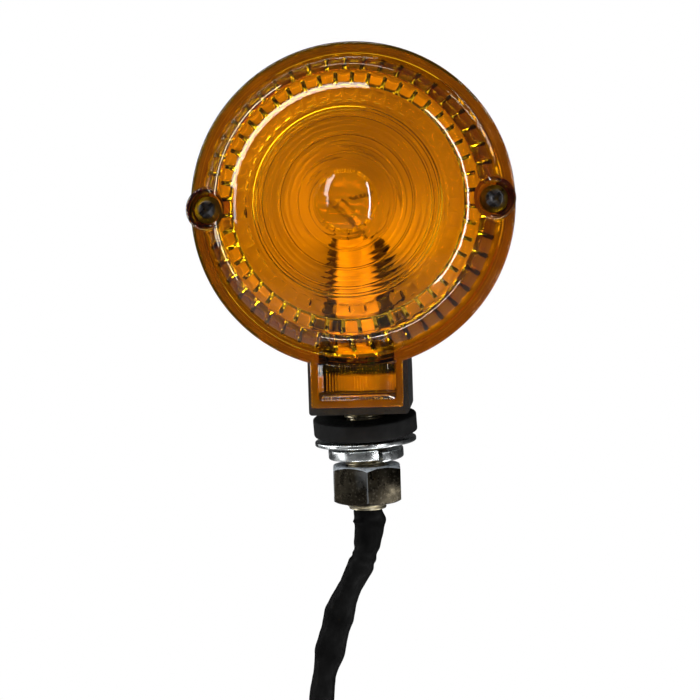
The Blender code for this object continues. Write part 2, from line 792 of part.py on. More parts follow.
def mounting_nut():
    """The hexagon nut, its corners chamfered at both ends."""
    top, bottom = NUT
    corner = HEX_AF / math.sqrt(3)
    body = rod("mounting_nut", (0, 0, bottom), (0, 0, top), corner, DARK_ZINC, sides=6, turn=NUT_TURN)
    edge = 0.0009
    barrel = [
        (0.0, top + GAP),
        (HEX_AF / 2 - GAP, top + GAP),
        (corner + GAP, top - edge),
        (corner + GAP, bottom + edge),
        (HEX_AF / 2 - GAP, bottom - GAP),
        (0.0, bottom - GAP),
    ]
    boolean(body, turned("nut_chamfer", barrel, sides=ROUND), "INTERSECT")
    cut(body, rod("nut_bore", (0, 0, bottom - 0.01), (0, 0, top + 0.01), NUT_BORE_R, sides=ROUND))
    return body


# ---------------------------------------------------------------- wiring
def inner_wires():
    """The live and earth wires, from their terminals down inside the stem."""
    across = STEM_BORE_R - WIRE_R - 0.0012
    end = STEM_END + 0.0006
    terminal = BARREL_BOTTOM + BARREL_WALL - 0.0032
    head_top = NECK_FLOOR_T + GAP + STEM_HEAD_T
    live = [
        (0.0030, BULB_Y, terminal - GAP),
        (0.0030, BULB_Y + 0.0006, terminal - 0.0016),
        (0.0028, BULB_Y + 0.0036, head_top + 0.0018),
        (0.0020, -0.0020, head_top + 0.0014),
        (across, -0.0004, head_top - 0.0014),
        (across, 0, 0.0),
        (across, 0, end),
    ]
    earth = [
        (-0.0074, EARTH_FRONT + 0.00035, BRACKET_SCREW_Z),
        (-0.0090, EARTH_FRONT, BRACKET_SCREW_Z - 0.0010),
        (-0.0074, EARTH_FRONT, head_top + 0.0020),
        (-0.0042, -0.0036, head_top + 0.0019),
        (-0.0019, -0.0017, head_top + 0.0012),
        (-across, -0.0008, head_top - 0.0014),
        (-across, 0, 0.0),
        (-across, 0, end),
    ]
    for name, knots in (("live", live), ("earth", earth)):
        tube(f"{name}_wire", smooth_route(knots, 0.0035), WIRE_R, WIRE_COLOURS[name])


def lead_sleeve():
    """The black sleeve that holds both wires below the stem."""
    return tube("lead_sleeve", smooth_route(SLEEVE_ROUTE, 0.0045), SLEEVE_R, PVC)


def stadium(name, wide, long, deep, mat=None):
    """A block with round ends, standing upright at the hank's place."""
    middle = HANK_TOP - HANK_LONG / 2
    reach = long / 2 - wide / 2
    body = block(
        name,
        (HANK_X - wide / 2, -deep / 2, middle - reach),
        (HANK_X + wide / 2, deep / 2, middle + reach),
        mat,
    )
    for label, z in (("top", middle + reach), ("bottom", middle - reach)):
        end = rod(f"{name}_{label}", (HANK_X, -deep / 2, z), (HANK_X, deep / 2, z), wide / 2)
        join(body, end)
    return body


def lead_hank():
    """The folded spare length of both wires, as one solid of its outer shape."""
    return stadium("lead_hank", HANK_WIDE, HANK_LONG, HANK_DEEP, PVC)


def hank_tie():
    """The band round the hank's waist."""
    middle = HANK_TOP - HANK_LONG / 2
    wide, deep = HANK_WIDE / 2 + GAP, HANK_DEEP / 2 + GAP
    body = block(
        "hank_tie",
        (HANK_X - wide - TIE_T, -deep - TIE_T, middle - TIE_H / 2),
        (HANK_X + wide + TIE_T, deep + TIE_T, middle + TIE_H / 2),
        PVC,
    )
    low_corner = (HANK_X - wide, -deep, middle - TIE_H)
    high_corner = (HANK_X + wide, deep, middle + TIE_H)
    cut(body, block("tie_inside", low_corner, high_corner))
    return body


def wire_end(name, side):
    """One wire's free end: the tail, the crimped sleeve and the bullet contact."""
    x = HANK_X + side * TAIL_OUT
    top = HANK_TOP - HANK_LONG - GAP
    low = top - TAIL_LONG
    out = x + side * 0.0020
    knots = [(x, 0, top), (x + side * 0.0006, 0, top - TAIL_LONG / 3), (out, 0, low + 0.003), (out, 0, low)]
    tube(f"{name}_wire_tail", smooth_route(knots, 0.0020), WIRE_R, WIRE_COLOURS[name])
    crimp_top = low - GAP
    crimp_low = crimp_top - CRIMP_LONG
    at = (out, 0, 0)
    cover = [
        (0.0, crimp_top),
        (0.0018, crimp_top),
        (0.0026, crimp_top - 0.0020),
        (0.0026, crimp_low),
        (0.0, crimp_low),
    ]
    turned(f"{name}_connector_cover", cover, PVC, False, at, 0, 16)
    tip = crimp_low - GAP - BULLET_LONG
    bullet = [
        (0.0, crimp_low - GAP),
        (0.0019, crimp_low - GAP),
        (0.0019, tip + 0.0046),
        (0.0013, tip + 0.0038),
        (0.0019, tip + 0.0028),
        (0.0015, tip + 0.0006),
        (0.0, tip),
    ]
    turned(f"{name}_connector", bullet, BRASS, False, at, 0, 16)


# ---------------------------------------------------------------- assembly
def build():
    lens()
    lens_gasket()
    for side, x in EARS.items():
        lens_screw(side, x)
        screw_insert(side, x)
    housing()
    reflector()
    bulb_socket()
    socket_insulator()
    contact_plunger()
    contact_spring()
    live_terminal()
    socket_bracket()
    earth_terminal()
    bracket_screw()
    bulb_cap()
    bulb_insulator()
    bulb_contact()
    bulb_glass()
    glass_pinch()
    filament()
    for side, direction in (("left", -1), ("right", 1)):
        bulb_pin(side, direction)
        filament_post(side, direction)
    stem_bolt()
    washer("rubber_washer", *RUBBER, RUBBER_BLACK, RUBBER_LEAN)
    washer("flat_washer", *FLAT, ZINC, METAL_LEAN)
    lock_washer()
    mounting_nut()
    inner_wires()
    lead_sleeve()
    lead_hank()
    hank_tie()
    wire_end("live", -1)
    wire_end("earth", 1)


build()
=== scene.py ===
"""The looks of a round amber turn signal indicator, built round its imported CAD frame.

+Z is up and the lens faces -Y. Lengths are in metres, and millimetres pass through mm() or MM.
"""
import math

import bmesh
import bpy
import numpy as np
from mathutils import Euler, Matrix, Vector, noise


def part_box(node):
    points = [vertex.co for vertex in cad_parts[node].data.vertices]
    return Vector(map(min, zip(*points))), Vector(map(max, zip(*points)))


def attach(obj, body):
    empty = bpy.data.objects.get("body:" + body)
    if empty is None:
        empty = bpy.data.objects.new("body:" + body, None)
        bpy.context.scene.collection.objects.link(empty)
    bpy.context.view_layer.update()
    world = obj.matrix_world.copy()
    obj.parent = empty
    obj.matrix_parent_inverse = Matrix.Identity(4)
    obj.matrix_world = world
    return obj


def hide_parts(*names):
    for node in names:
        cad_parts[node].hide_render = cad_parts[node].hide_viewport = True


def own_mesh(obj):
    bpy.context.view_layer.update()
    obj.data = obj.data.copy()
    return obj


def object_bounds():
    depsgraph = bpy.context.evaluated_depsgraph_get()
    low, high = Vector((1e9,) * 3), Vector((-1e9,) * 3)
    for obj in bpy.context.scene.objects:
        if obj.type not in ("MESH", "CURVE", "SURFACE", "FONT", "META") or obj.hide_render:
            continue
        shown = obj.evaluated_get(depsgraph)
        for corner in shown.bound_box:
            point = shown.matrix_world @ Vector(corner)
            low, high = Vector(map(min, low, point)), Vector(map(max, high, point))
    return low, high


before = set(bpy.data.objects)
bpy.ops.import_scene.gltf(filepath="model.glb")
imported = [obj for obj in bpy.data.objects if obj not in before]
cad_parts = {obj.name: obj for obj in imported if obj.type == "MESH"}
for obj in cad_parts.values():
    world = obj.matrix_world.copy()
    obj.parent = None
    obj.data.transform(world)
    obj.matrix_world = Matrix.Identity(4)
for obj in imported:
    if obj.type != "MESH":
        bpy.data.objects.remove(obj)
cad_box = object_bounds()

MM = 0.001


def mm(*sizes):
    """Sizes, or points, that are given in millimetres."""
    return [tuple(part * MM for part in size) if isinstance(size, tuple) else size * MM for size in sizes]


# ---------------------------------------------------------------- camera
def aim_camera():
    """Stands a little to the right of the lens, below its middle, with a slight roll."""
    place = Vector((0.0265, -0.3275, 0.0292))
    yaw, pitch, roll = (math.radians(a) for a in (5.27, -2.17, -1.79))
    level = Vector((math.cos(yaw), math.sin(yaw), 0))
    ahead = Vector((-math.sin(yaw), math.cos(yaw), 0))
    forward = ahead * math.cos(pitch) + Vector((0, 0, math.sin(pitch)))
    above = level.cross(forward)
    right = level * math.cos(roll) + above * math.sin(roll)
    up = above * math.cos(roll) - level * math.sin(roll)
    data = bpy.data.cameras.new("camera")
    data.sensor_width = 36
    data.lens = 59.2
    data.clip_start = 0.01
    camera = bpy.data.objects.new("camera", data)
    bpy.context.scene.collection.objects.link(camera)
    camera.matrix_world = Matrix.Translation(place) @ Matrix((right, up, -forward)).transposed().to_4x4()
    bpy.context.scene.camera = camera


aim_camera()


# ---------------------------------------------------------------- places read from the frame
LENS_LOW, LENS_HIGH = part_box("lens")
JOINT_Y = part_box("housing")[0].y
RIM_R = (LENS_HIGH.x - LENS_LOW.x) / 2
LENS_Z = LENS_HIGH.z - RIM_R
LENS_BACK = JOINT_Y - LENS_HIGH.y
FLANGE = LENS_BACK + 3.0 * MM
WINDOW_LOW = LENS_LOW.z
WINDOW_HALF = 12.3 * MM
EAR_X = (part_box("lens_screw_right")[0].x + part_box("lens_screw_right")[1].x) / 2


# ---------------------------------------------------------------- materials
class Look:
    """A node material under construction, with the steps that the finishes share."""

    def __init__(self, name, **values):
        self.material = bpy.data.materials.new(name)
        self.material.use_nodes = True
        self.tree = self.material.node_tree
        self.shader = self.tree.nodes["Principled BSDF"]
        self.set(**values)

    def feed(self, socket, value):
        """Links an output to a socket, or sets the socket's own value."""
        if isinstance(value, bpy.types.NodeSocket):
            self.tree.links.new(value, socket)
        else:
            socket.default_value = value

    def set(self, **values):
        """Feeds the shader's sockets; an underscore stands for a space."""
        for name, value in values.items():
            self.feed(self.shader.inputs[name.replace("_", " ")], value)

    def node(self, kind, **values):
        node = self.tree.nodes.new("ShaderNode" + kind)
        for name, value in values.items():
            self.feed(node.inputs[name.replace("_", " ")], value)
        return node

    def noise(self, scale, detail=3.0, stretch=(1, 1, 1)):
        """Noise in the object's own space, so that it stays on the piece in every view."""
        where = self.node("TexCoord").outputs["Object"]
        place = self.node("Mapping", Vector=where, Scale=stretch).outputs["Vector"]
        return self.node("TexNoise", Vector=place, Scale=scale, Detail=detail).outputs["Fac"]

    def part_of(self, output, letter):
        """One component of the object's own place or direction."""
        where = self.node("TexCoord").outputs[output]
        return self.node("SeparateXYZ", Vector=where).outputs[letter]

    def ramp(self, source, start, first, end, last):
        """Runs from one colour or grey level to another as the source goes from start to end."""
        node = self.node("ValToRGB", Fac=source)
        for element, place, colour in zip(node.color_ramp.elements, (start, end), (first, last)):
            element.position = place
            element.color = (*colour, 1) if isinstance(colour, tuple) else (colour, colour, colour, 1)
        return node.outputs["Color"]

    def span(self, value, low, high):
        """0 up to one value and 1 from another."""
        return self.node("MapRange", Value=value, From_Min=low, From_Max=high).outputs["Result"]

    def math(self, operation, *values):
        node = self.node("Math")
        node.operation = operation
        for socket, value in zip(node.inputs, values):
            self.feed(socket, value)
        return node.outputs["Value"]

    def mixed(self, share, first, second):
        """A colour between two, each a node's output or a plain colour."""
        node = self.node("Mix")
        node.data_type = "RGBA"
        self.feed(node.inputs["Factor"], share)
        ends = [socket for socket in node.inputs if socket.type == "RGBA"]
        for socket, value in zip(ends, (first, second)):
            self.feed(socket, (*value, 1) if isinstance(value, tuple) else value)
        return [socket for socket in node.outputs if socket.type == "RGBA"][0]

    def bump(self, height, strength, distance):
        node = self.node("Bump", Height=height, Strength=strength, Distance=distance)
        self.set(Normal=node.outputs["Normal"])

    def show_rays(self, kind, other):
        """Gives one kind of ray another shader to meet."""
        share = self.node("MixShader", Fac=self.node("LightPath").outputs[kind])
        self.feed(share.inputs[1], self.shader.outputs["BSDF"])
        self.feed(share.inputs[2], other.outputs[0])
        self.feed(self.tree.nodes["Material Output"].inputs["Surface"], share.outputs["Shader"])


def darker(colour, share):
    return tuple(c * share for c in colour)


def metal(name, colour, dark, rough, grain=900, depth=0.00004, spots=None, painted_highlight_colour=None):
    """Plated metal: mottled colour, uneven gloss, fine pitting; upward faces and edges may carry a painted
    highlight.
    """
    look = Look(name, Metallic=1.0)
    tone = look.ramp(look.noise(220, 4), 0.35, dark, 0.65, colour)
    if spots:
        tone = look.mixed(look.ramp(look.noise(1400, 2), 0.58, 0.0, 0.66, 1.0), tone, spots)
    if painted_highlight_colour:
        # painted highlight: faces turned up and sharp edges take a pale colour standing in for the reflection
        # of a lamp above
        turned_up = look.ramp(look.part_of("Normal", "Z"), 0.45, 0.0, 0.6, 1.0)
        edges = look.span(look.node("NewGeometry").outputs["Pointiness"], 0.53, 0.58)
        painted_highlight_share = look.math("MAXIMUM", turned_up, edges)
        tone = look.mixed(painted_highlight_share, tone, painted_highlight_colour)
        look.set(Metallic=look.ramp(painted_highlight_share, 0.0, 1.0, 1.0, 0.4))
    fine = look.noise(grain, 5)
    look.set(Base_Color=tone, Roughness=look.ramp(fine, 0.3, rough - 0.1, 0.7, rough + 0.14))
    look.bump(fine, 0.5, depth)
    return look.material


def plastic(name, colour, rough, grain=1800, depth=0.00002, shine=0.5):
    """Moulded plastic or rubber: fine grain, uneven gloss and a little dust on rough spots."""
    look = Look(name, Specular_IOR_Level=shine)
    dusty = tuple(c * 1.8 + 0.002 for c in colour)
    look.set(Base_Color=look.ramp(look.noise(160, 5), 0.4, colour, 0.75, dusty))
    fine = look.noise(grain, 4)
    look.set(Roughness=look.ramp(fine, 0.3, rough - 0.08, 0.7, rough + 0.12))
    look.bump(fine, 0.4, depth)
    return look.material


def satin_metal(name, colour, rough, bright_r):
    """Bright metal paint in the dish; outside a radius the rim is left unpainted and dark."""
    look = Look(name, Metallic=0.5)
    tone = look.ramp(look.noise(90, 4), 0.3, darker(colour, 0.9), 0.7, colour)
    across = look.part_of("Object", "X")
    upward = look.math("SUBTRACT", look.part_of("Object", "Z"), LENS_Z)
    squared = look.math("ADD", look.math("MULTIPLY", across, across), look.math("MULTIPLY", upward, upward))
    rim = look.span(squared, (bright_r - 0.3 * MM) ** 2, (bright_r + 0.3 * MM) ** 2)
    fine = look.noise(500, 4)
    gloss = look.ramp(fine, 0.3, rough - 0.08, 0.7, rough + 0.08)
    look.set(Base_Color=look.mixed(rim, tone, (0.14, 0.13, 0.12)), Roughness=gloss)
    look.bump(fine, 0.3, 0.00003)
    return look.material


def drawn_barrel(name, colour, dark):
    """Drawn metal, mottled, with painted shade turning the sides that face left and right nearly black."""
    look = Look(name, Metallic=0.5)
    mottled = look.ramp(look.noise(220, 4), 0.35, darker(colour, 0.8), 0.65, colour)
    # painted shade: where the surface turns to face left or right its colour runs to near black, standing in
    # for darker reflections there
    sideways = look.math("ABSOLUTE", look.part_of("Normal", "X"))
    painted_side_shade = look.ramp(sideways, 0.55, 0.0, 0.7, 1.0)
    fine = look.noise(900, 4, (1, 1, 0.2))
    look.set(Base_Color=look.mixed(painted_side_shade, mottled, dark), Roughness=look.ramp(fine, 0.3, 0.3, 0.7, 0.5))
    look.bump(fine, 0.3, 0.00002)
    return look.material


def stem_metal(name):
    """A head above the neck's floor painted near-white and matte, so that it shows lit through the window,
    and an oiled, dull thread below it.
    """
    look = Look(name)
    # painted highlight: above the neck's floor the head takes a near-white colour standing in for the light
    # reaching it through the window
    painted_bright_head = look.span(look.part_of("Object", "Z"), 2 * MM, 4 * MM)
    oil = look.ramp(look.noise(500, 4), 0.35, (0.30, 0.26, 0.17), 0.7, (0.50, 0.45, 0.33))
    head = look.ramp(look.noise(300, 4), 0.3, (0.9, 0.88, 0.8), 0.7, (1.0, 0.98, 0.9))
    fine = look.noise(1200, 3)
    look.set(Base_Color=look.mixed(painted_bright_head, oil, head), Metallic=look.ramp(painted_bright_head, 0.0, 1.0, 1.0, 0.15))
    look.set(Roughness=look.ramp(fine, 0.3, 0.28, 0.7, 0.42))
    look.bump(fine, 0.3, 0.00001)
    return look.material


def amber(name, tint):
    """Clear amber moulding that lamps shine through, with faint flow lines in its gloss."""
    look = Look(name, IOR=1.49, Transmission_Weight=1.0)
    look.set(Base_Color=look.ramp(look.noise(60), 0.3, tint, 0.7, darker(tint, 0.94)))
    look.set(Roughness=look.ramp(look.noise(700), 0.35, 0.02, 0.7, 0.05))
    look.show_rays("Is Shadow Ray", look.node("BsdfTransparent", Color=(*[c**0.5 for c in tint], 1)))
    return look.material


def clear_glass(name):
    look = Look(name, IOR=1.45, Transmission_Weight=1.0, Roughness=0.0)
    look.set(Base_Color=look.ramp(look.noise(300), 0.3, (1.0, 1.0, 1.0), 0.8, (0.96, 0.97, 0.96)))
    look.show_rays("Is Shadow Ray", look.node("BsdfTransparent"))
    return look.material


MATERIALS = {
    "amber_lens": amber("amber_lens_look", (1.0, 0.53, 0.004)),
    "black_plastic": plastic("black_plastic_look", (0.012, 0.012, 0.013), 0.32, 2600, 0.00003),
    "rubber_black": plastic("rubber_black_look", (0.007, 0.007, 0.007), 0.65, 1300, 0.00006, 0.06),
    "grey_rubber": plastic("grey_rubber_look", (0.07, 0.07, 0.065), 0.6, 1300, 0.00004),
    "pvc_black": plastic("pvc_black_look", (0.002, 0.002, 0.002), 0.5, 700, 0.00004, 0.03),
    "zinc_plate": metal("zinc_plate_look", (0.60, 0.63, 0.63), (0.50, 0.52, 0.52), 0.24, 300, 0.00001),
    # dark_zinc: the pale bluish colour on its top faces and edges is a painted highlight
    "dark_zinc": metal(
        "dark_zinc_look", (0.034, 0.029, 0.020), (0.018, 0.015, 0.010), 0.30, 700,
        spots=(0.055, 0.048, 0.036), painted_highlight_colour=(0.42, 0.46, 0.50),
    ),
    "black_screw": metal("black_screw_look", (0.07, 0.07, 0.075), (0.03, 0.03, 0.032), 0.35),
    "brass": metal("brass_look", (0.72, 0.52, 0.22), (0.50, 0.34, 0.13), 0.25),
    "nickel": metal("nickel_look", (0.66, 0.64, 0.60), (0.50, 0.48, 0.44), 0.22),
    "tungsten": metal("tungsten_look", (0.32, 0.31, 0.30), (0.20, 0.20, 0.20), 0.35),
    "reflector_chrome": satin_metal("reflector_look", (0.56, 0.56, 0.55), 0.36, 35.0 * MM),
    # the last colour is the painted shade on the barrels' sides
    "drawn_barrel": drawn_barrel("drawn_barrel_look", (0.85, 0.80, 0.70), (0.03, 0.025, 0.02)),
    "stem_metal": stem_metal("stem_metal_look"),
    "bulb_glass": clear_glass("bulb_glass_look"),
    "phenolic": plastic("phenolic_look", (0.16, 0.08, 0.04), 0.5),
    "wire_live": plastic("wire_live_look", (0.02, 0.09, 0.34), 0.4),
    "wire_earth": plastic("wire_earth_look", (0.012, 0.012, 0.012), 0.4),
}


# ---------------------------------------------------------------- mesh helpers
def finish_piece(obj, slot, body, replaced=(), sharp=32, look=None):
    """Shades a piece, gives it its finish and hangs it on its body."""
    if obj.name not in bpy.context.scene.collection.objects:
        bpy.context.scene.collection.objects.link(obj)
    obj.data.materials.clear()
    obj.data.materials.append(MATERIALS[look or slot])
    if obj.type == "MESH":
        obj.data.polygons.foreach_set("material_index", [0] * len(obj.data.polygons))
        obj.data.shade_smooth()
        obj.data.set_sharp_from_angle(angle=math.radians(sharp))
    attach(obj, body)
    if replaced:
        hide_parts(*replaced)
    return obj


def to_object(name, bm):
    bmesh.ops.recalc_face_normals(bm, faces=bm.faces)
    mesh = bpy.data.meshes.new(name)
    bm.to_mesh(mesh)
    bm.free()
    obj = bpy.data.objects.new(name, mesh)
    bpy.context.scene.collection.objects.link(obj)
    return obj


def rounded(path, radii, steps=4):
    """The path with its inner corners turned into arcs, each of its own radius."""
    path = [Vector(p) for p in path]
    out = [path[0]]
    for before, corner, after, radius in zip(path, path[1:], path[2:], radii):
        to_before, to_after = (before - corner).normalized(), (after - corner).normalized()
        half = to_before.angle(to_after) / 2
        room = 0.48 * min((before - corner).length, (after - corner).length)
        reach = min(radius / math.tan(half), room)
        first, last = corner + to_before * reach, corner + to_after * reach
        for i in range(steps + 1):
            t = i / steps
            out.append((1 - t) ** 2 * first + 2 * t * (1 - t) * corner + t * t * last)
    return out + [path[-1]]


def bridge(bm, rings, closed_loop=False):
    """Faces from each ring to the next; a ring of one vertex is a tip."""
    pairs = list(zip(rings, rings[1:]))
    if closed_loop:
        pairs.append((rings[-1], rings[0]))
    for first, second in pairs:
        count = max(len(first), len(second))
        for k in range(count):
            j = (k + 1) % count
            corners = [ring[i % len(ring)] for ring, i in ((first, k), (first, j), (second, j), (second, k))]
            corners = list(dict.fromkeys(corners))
            if len(corners) > 2:
                bm.faces.new(corners)


def lathe(name, path, frame_matrix, sides=96, closed_loop=False, wobble=None):
    """Turns (radius, height) points about the frame's Z axis."""
    bm = bmesh.new()
    rings = []
    for radius, height in path:
        if radius < 1e-7:
            rings.append([bm.verts.new(frame_matrix @ Vector((0, 0, height)))])
            continue
        ring = []
        for k in range(sides):
            angle = 2 * math.pi * k / sides
            place = Vector((radius * math.cos(angle), radius * math.sin(angle), height))
            if wobble:
                place += wobble(place, angle)
            ring.append(bm.verts.new(frame_matrix @ place))
        rings.append(ring)
    bridge(bm, rings, closed_loop)
    return to_object(name, bm)


def at_stem(x=0.0, y=0.0):
    """A frame whose Z is the object's own up."""
    return Matrix.Translation((x, y, 0))


def at_lens(x=0.0):
    """A frame on the joint plane whose Z points forward out of the lens."""
    return Matrix.Translation((x, JOINT_Y, LENS_Z)) @ Matrix.Rotation(math.pi / 2, 4, "X")


def prism(name, outline, low, high, frame_matrix=Matrix()):
    """An outline of (x, y) points run from low to high along Z."""
    bm = bmesh.new()
    bottom = [bm.verts.new(frame_matrix @ Vector((x, y, low))) for x, y in outline]
    top = [bm.verts.new(frame_matrix @ Vector((x, y, high))) for x, y in outline]
    bm.faces.new(bottom)
    bm.faces.new(top)
    count = len(outline)
    for k in range(count):
        bm.faces.new((bottom[k], bottom[(k + 1) % count], top[(k + 1) % count], top[k]))
    return to_object(name, bm)


def carve(target, *tools, operation="DIFFERENCE"):
    """Applies Booleans to the target and removes the tools."""
    for tool in tools:
        step = target.modifiers.new("carve", "BOOLEAN")
        step.operation = operation
        step.object = tool
        step.solver = "EXACT"
        apply_modifiers(target)
        bpy.data.objects.remove(tool)
    return target


def apply_modifiers(obj):
    bpy.context.view_layer.update()
    evaluated = obj.evaluated_get(bpy.context.evaluated_depsgraph_get())
    mesh = bpy.data.meshes.new_from_object(evaluated)
    obj.modifiers.clear()
    obj.data = mesh
    return obj


def soften(obj, width, segments=2, angle=30):
    """Rounds the edges sharper than an angle."""
    step = obj.modifiers.new("soften", "BEVEL")
    step.width = width
    step.segments = segments
    step.limit_method = "ANGLE"
    step.angle_limit = math.radians(angle)
    step.harden_normals = False
    return apply_modifiers(obj)


def catmull(knots, per_span):
    """Points on a smooth curve through the knots."""
    knots = [Vector(k) for k in knots]
    ends = [2 * knots[0] - knots[1]] + knots + [2 * knots[-1] - knots[-2]]
    out = []
    for a, b, c, d in zip(ends, ends[1:], ends[2:], ends[3:]):
        for i in range(per_span):
            t = i / per_span
            square, cube = 2 * a - 5 * b + 4 * c - d, 3 * b - a - 3 * c + d
            out.append(0.5 * (2 * b + (c - a) * t + square * t**2 + cube * t**3))
    return out + [knots[-1]]


def wire_curve(name, points, radius, resolution=4):
    curve = bpy.data.curves.new(name, "CURVE")
    curve.dimensions = "3D"
    curve.bevel_depth = radius
    curve.bevel_resolution = resolution
    curve.use_fill_caps = True
    spline = curve.splines.new("POLY")
    spline.points.add(len(points) - 1)
    for target, place in zip(spline.points, points):
        target.co = (*place, 1)
    spline.use_smooth = True
    obj = bpy.data.objects.new(name, curve)
    bpy.context.scene.collection.objects.link(obj)
    return obj


# ---------------------------------------------------------------- lead and its wires
SLEEVE_KNOTS = (
    (0.0000, 0.0, -0.0289),
    (0.0005, 0.0, -0.0330),
    (-0.0004, -0.0003, -0.0385),
    (-0.0016, -0.0006, -0.0430),
    (-0.0040, -0.0008, -0.0482),
    (-0.0077, -0.0007, -0.0554),
    (-0.0102, -0.0004, -0.0627),
    (-0.0123, 0.0, -0.0700),
    (-0.0140, 0.0002, -0.0775),
    (-0.0152, 0.0002, -0.0850),
    (-0.0158, 0.0, -0.0940),
    (-0.0160, 0.0, -0.1050),
)
HANK_X = -0.0160
HANK_TOP = -0.1053
TAIL_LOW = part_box("live_wire_tail")[0].z


def lead_sleeve():
    """A soft vinyl sleeve, pressed flat and creased where it leaves the stem."""
    route = catmull(SLEEVE_KNOTS, 14)
    sides = 72
    bm = bmesh.new()
    rings = []
    travelled = 0.0
    wall = 0.0005
    creases = ((0.0035, 0.0010, 0.55, 0.4), (0.0125, 0.0013, -0.5, 2.6), (0.0150, 0.0009, 0.4, 1.2),
               (0.0210, 0.0022, 0.45, 3.6), (0.0330, 0.0030, -0.35, 0.9), (0.0450, 0.0030, 0.3, 2.9))
    for index, centre in enumerate(route):
        if index:
            travelled += (centre - route[index - 1]).length
        ahead = route[min(index + 1, len(route) - 1)] - route[max(index - 1, 0)]
        ahead.normalize()
        side = ahead.cross(Vector((0, 1, 0))).normalized()
        back = side.cross(ahead).normalized()
        swell = 1 + 0.09 * math.sin(travelled * 190 + 0.6) + 0.05 * math.sin(travelled * 470)
        wide = 0.00385 * swell
        thin = 0.0066**2 / 4 / wide * 0.98
        twist = 0.5 * math.sin(travelled * 75)
        ring = []
        for k in range(sides):
            angle = 2 * math.pi * k / sides
            c, s = math.cos(angle + twist), math.sin(angle + twist)
            place = Vector((wide * c, thin * s, 0))
            direction = Vector((c, s, 0))
            push = 0.00028 * noise.noise(Vector((c * 1.3, s * 1.3, travelled * 110)))
            push += 0.00014 * noise.noise(Vector((c * 3.1, s * 3.1, travelled * 420 + 9)))
            for at, spread, deep, turn in creases:
                near = math.exp(-(((travelled - at) / spread) ** 2))
                push += deep * 0.0012 * near * math.cos(2 * (angle - turn))
            place += direction * push
            ring.append(bm.verts.new(centre + side * place.x + back * place.y))
        rings.append(ring)
    bridge(bm, rings)
    for ring, centre in ((rings[0], route[0]), (rings[-1], route[-1])):
        inner = [bm.verts.new(v.co + (centre - v.co).normalized() * wall) for v in ring]
        inward = route[1] - route[0] if ring is rings[0] else route[-2] - route[-1]
        deep = [bm.verts.new(v.co + inward.normalized() * 0.002) for v in inner]
        bridge(bm, (ring, inner, deep))
        bm.faces.new(deep)
    sleeve = to_object("sleeve_of_lead", bm)
    finish_piece(sleeve, "pvc_black", "indicator", ["lead_sleeve"], 60)


def hank_route(side):
    """One wire: down the hank's left run, once round its loop, down again and out below."""
    bend = 0.0064
    middle = HANK_TOP - 0.0215
    reach = 0.0140
    layer = 0.0021
    start_y = -0.00315
    run_y = start_y if side < 0 else start_y + layer
    x = HANK_X
    knots = [
        (x + side * 0.0012, 0.0, HANK_TOP + 0.0015),
        (x + side * 0.0012, 0.6 * start_y, HANK_TOP - 0.0010),
        (x + side * 0.0010 - 0.0004, start_y, HANK_TOP - 0.0035),
        (x - 0.35 * bend, 0.5 * (start_y + run_y), middle + reach - 0.0030),
        (x - 0.85 * bend, run_y, middle + reach - 0.0095),
        (x - bend, run_y, middle),
        (x - bend, run_y, middle - 0.0070),
    ]
    count = 20
    straight = 2 * reach
    lap = 2 * straight + 2 * math.pi * bend
    start, end = straight, straight + lap - 0.5 * straight
    for i in range(count + 1):
        along = start + (end - start) * i / count
        y = run_y + 2 * layer * (i / count)
        across, height = racetrack(along, lap, straight, bend, x, middle, reach)
        knots.append((across, y, height))
    last_y = run_y + 2 * layer
    out_y = 0.0023 if side < 0 else 0.0032
    out = x + side * 0.0034
    tail = x + side * 0.0054
    knots += [
        (x - 0.80 * bend, last_y, middle - 0.0080),
        (0.45 * (x - bend) + 0.55 * out, 0.5 * (last_y + out_y), middle - 0.0135),
        (out, out_y, middle - reach - 0.0050),
        (out + side * 0.0003, 0.8 * out_y, middle - reach - 0.0100),
        (tail, 0.25 * out_y, TAIL_LOW + 0.0055),
        (tail, 0.0, TAIL_LOW + 0.0015),
        (tail, 0.0, TAIL_LOW),
    ]
    return catmull(knots, 8)


def racetrack(along, lap, straight, bend, x, middle, reach):
    """The place (x, z) after a distance down the left run and round the loop."""
    along %= lap
    arc = math.pi * bend
    if along < straight:
        return x - bend, middle + reach - along
    along -= straight
    if along < arc:
        turn = along / bend
        return x - bend * math.cos(turn), middle - reach - bend * math.sin(turn)
    along -= arc
    if along < straight:
        return x + bend, middle - reach + along
    turn = (along - straight) / bend
    return x + bend * math.cos(turn), middle + reach + bend * math.sin(turn)


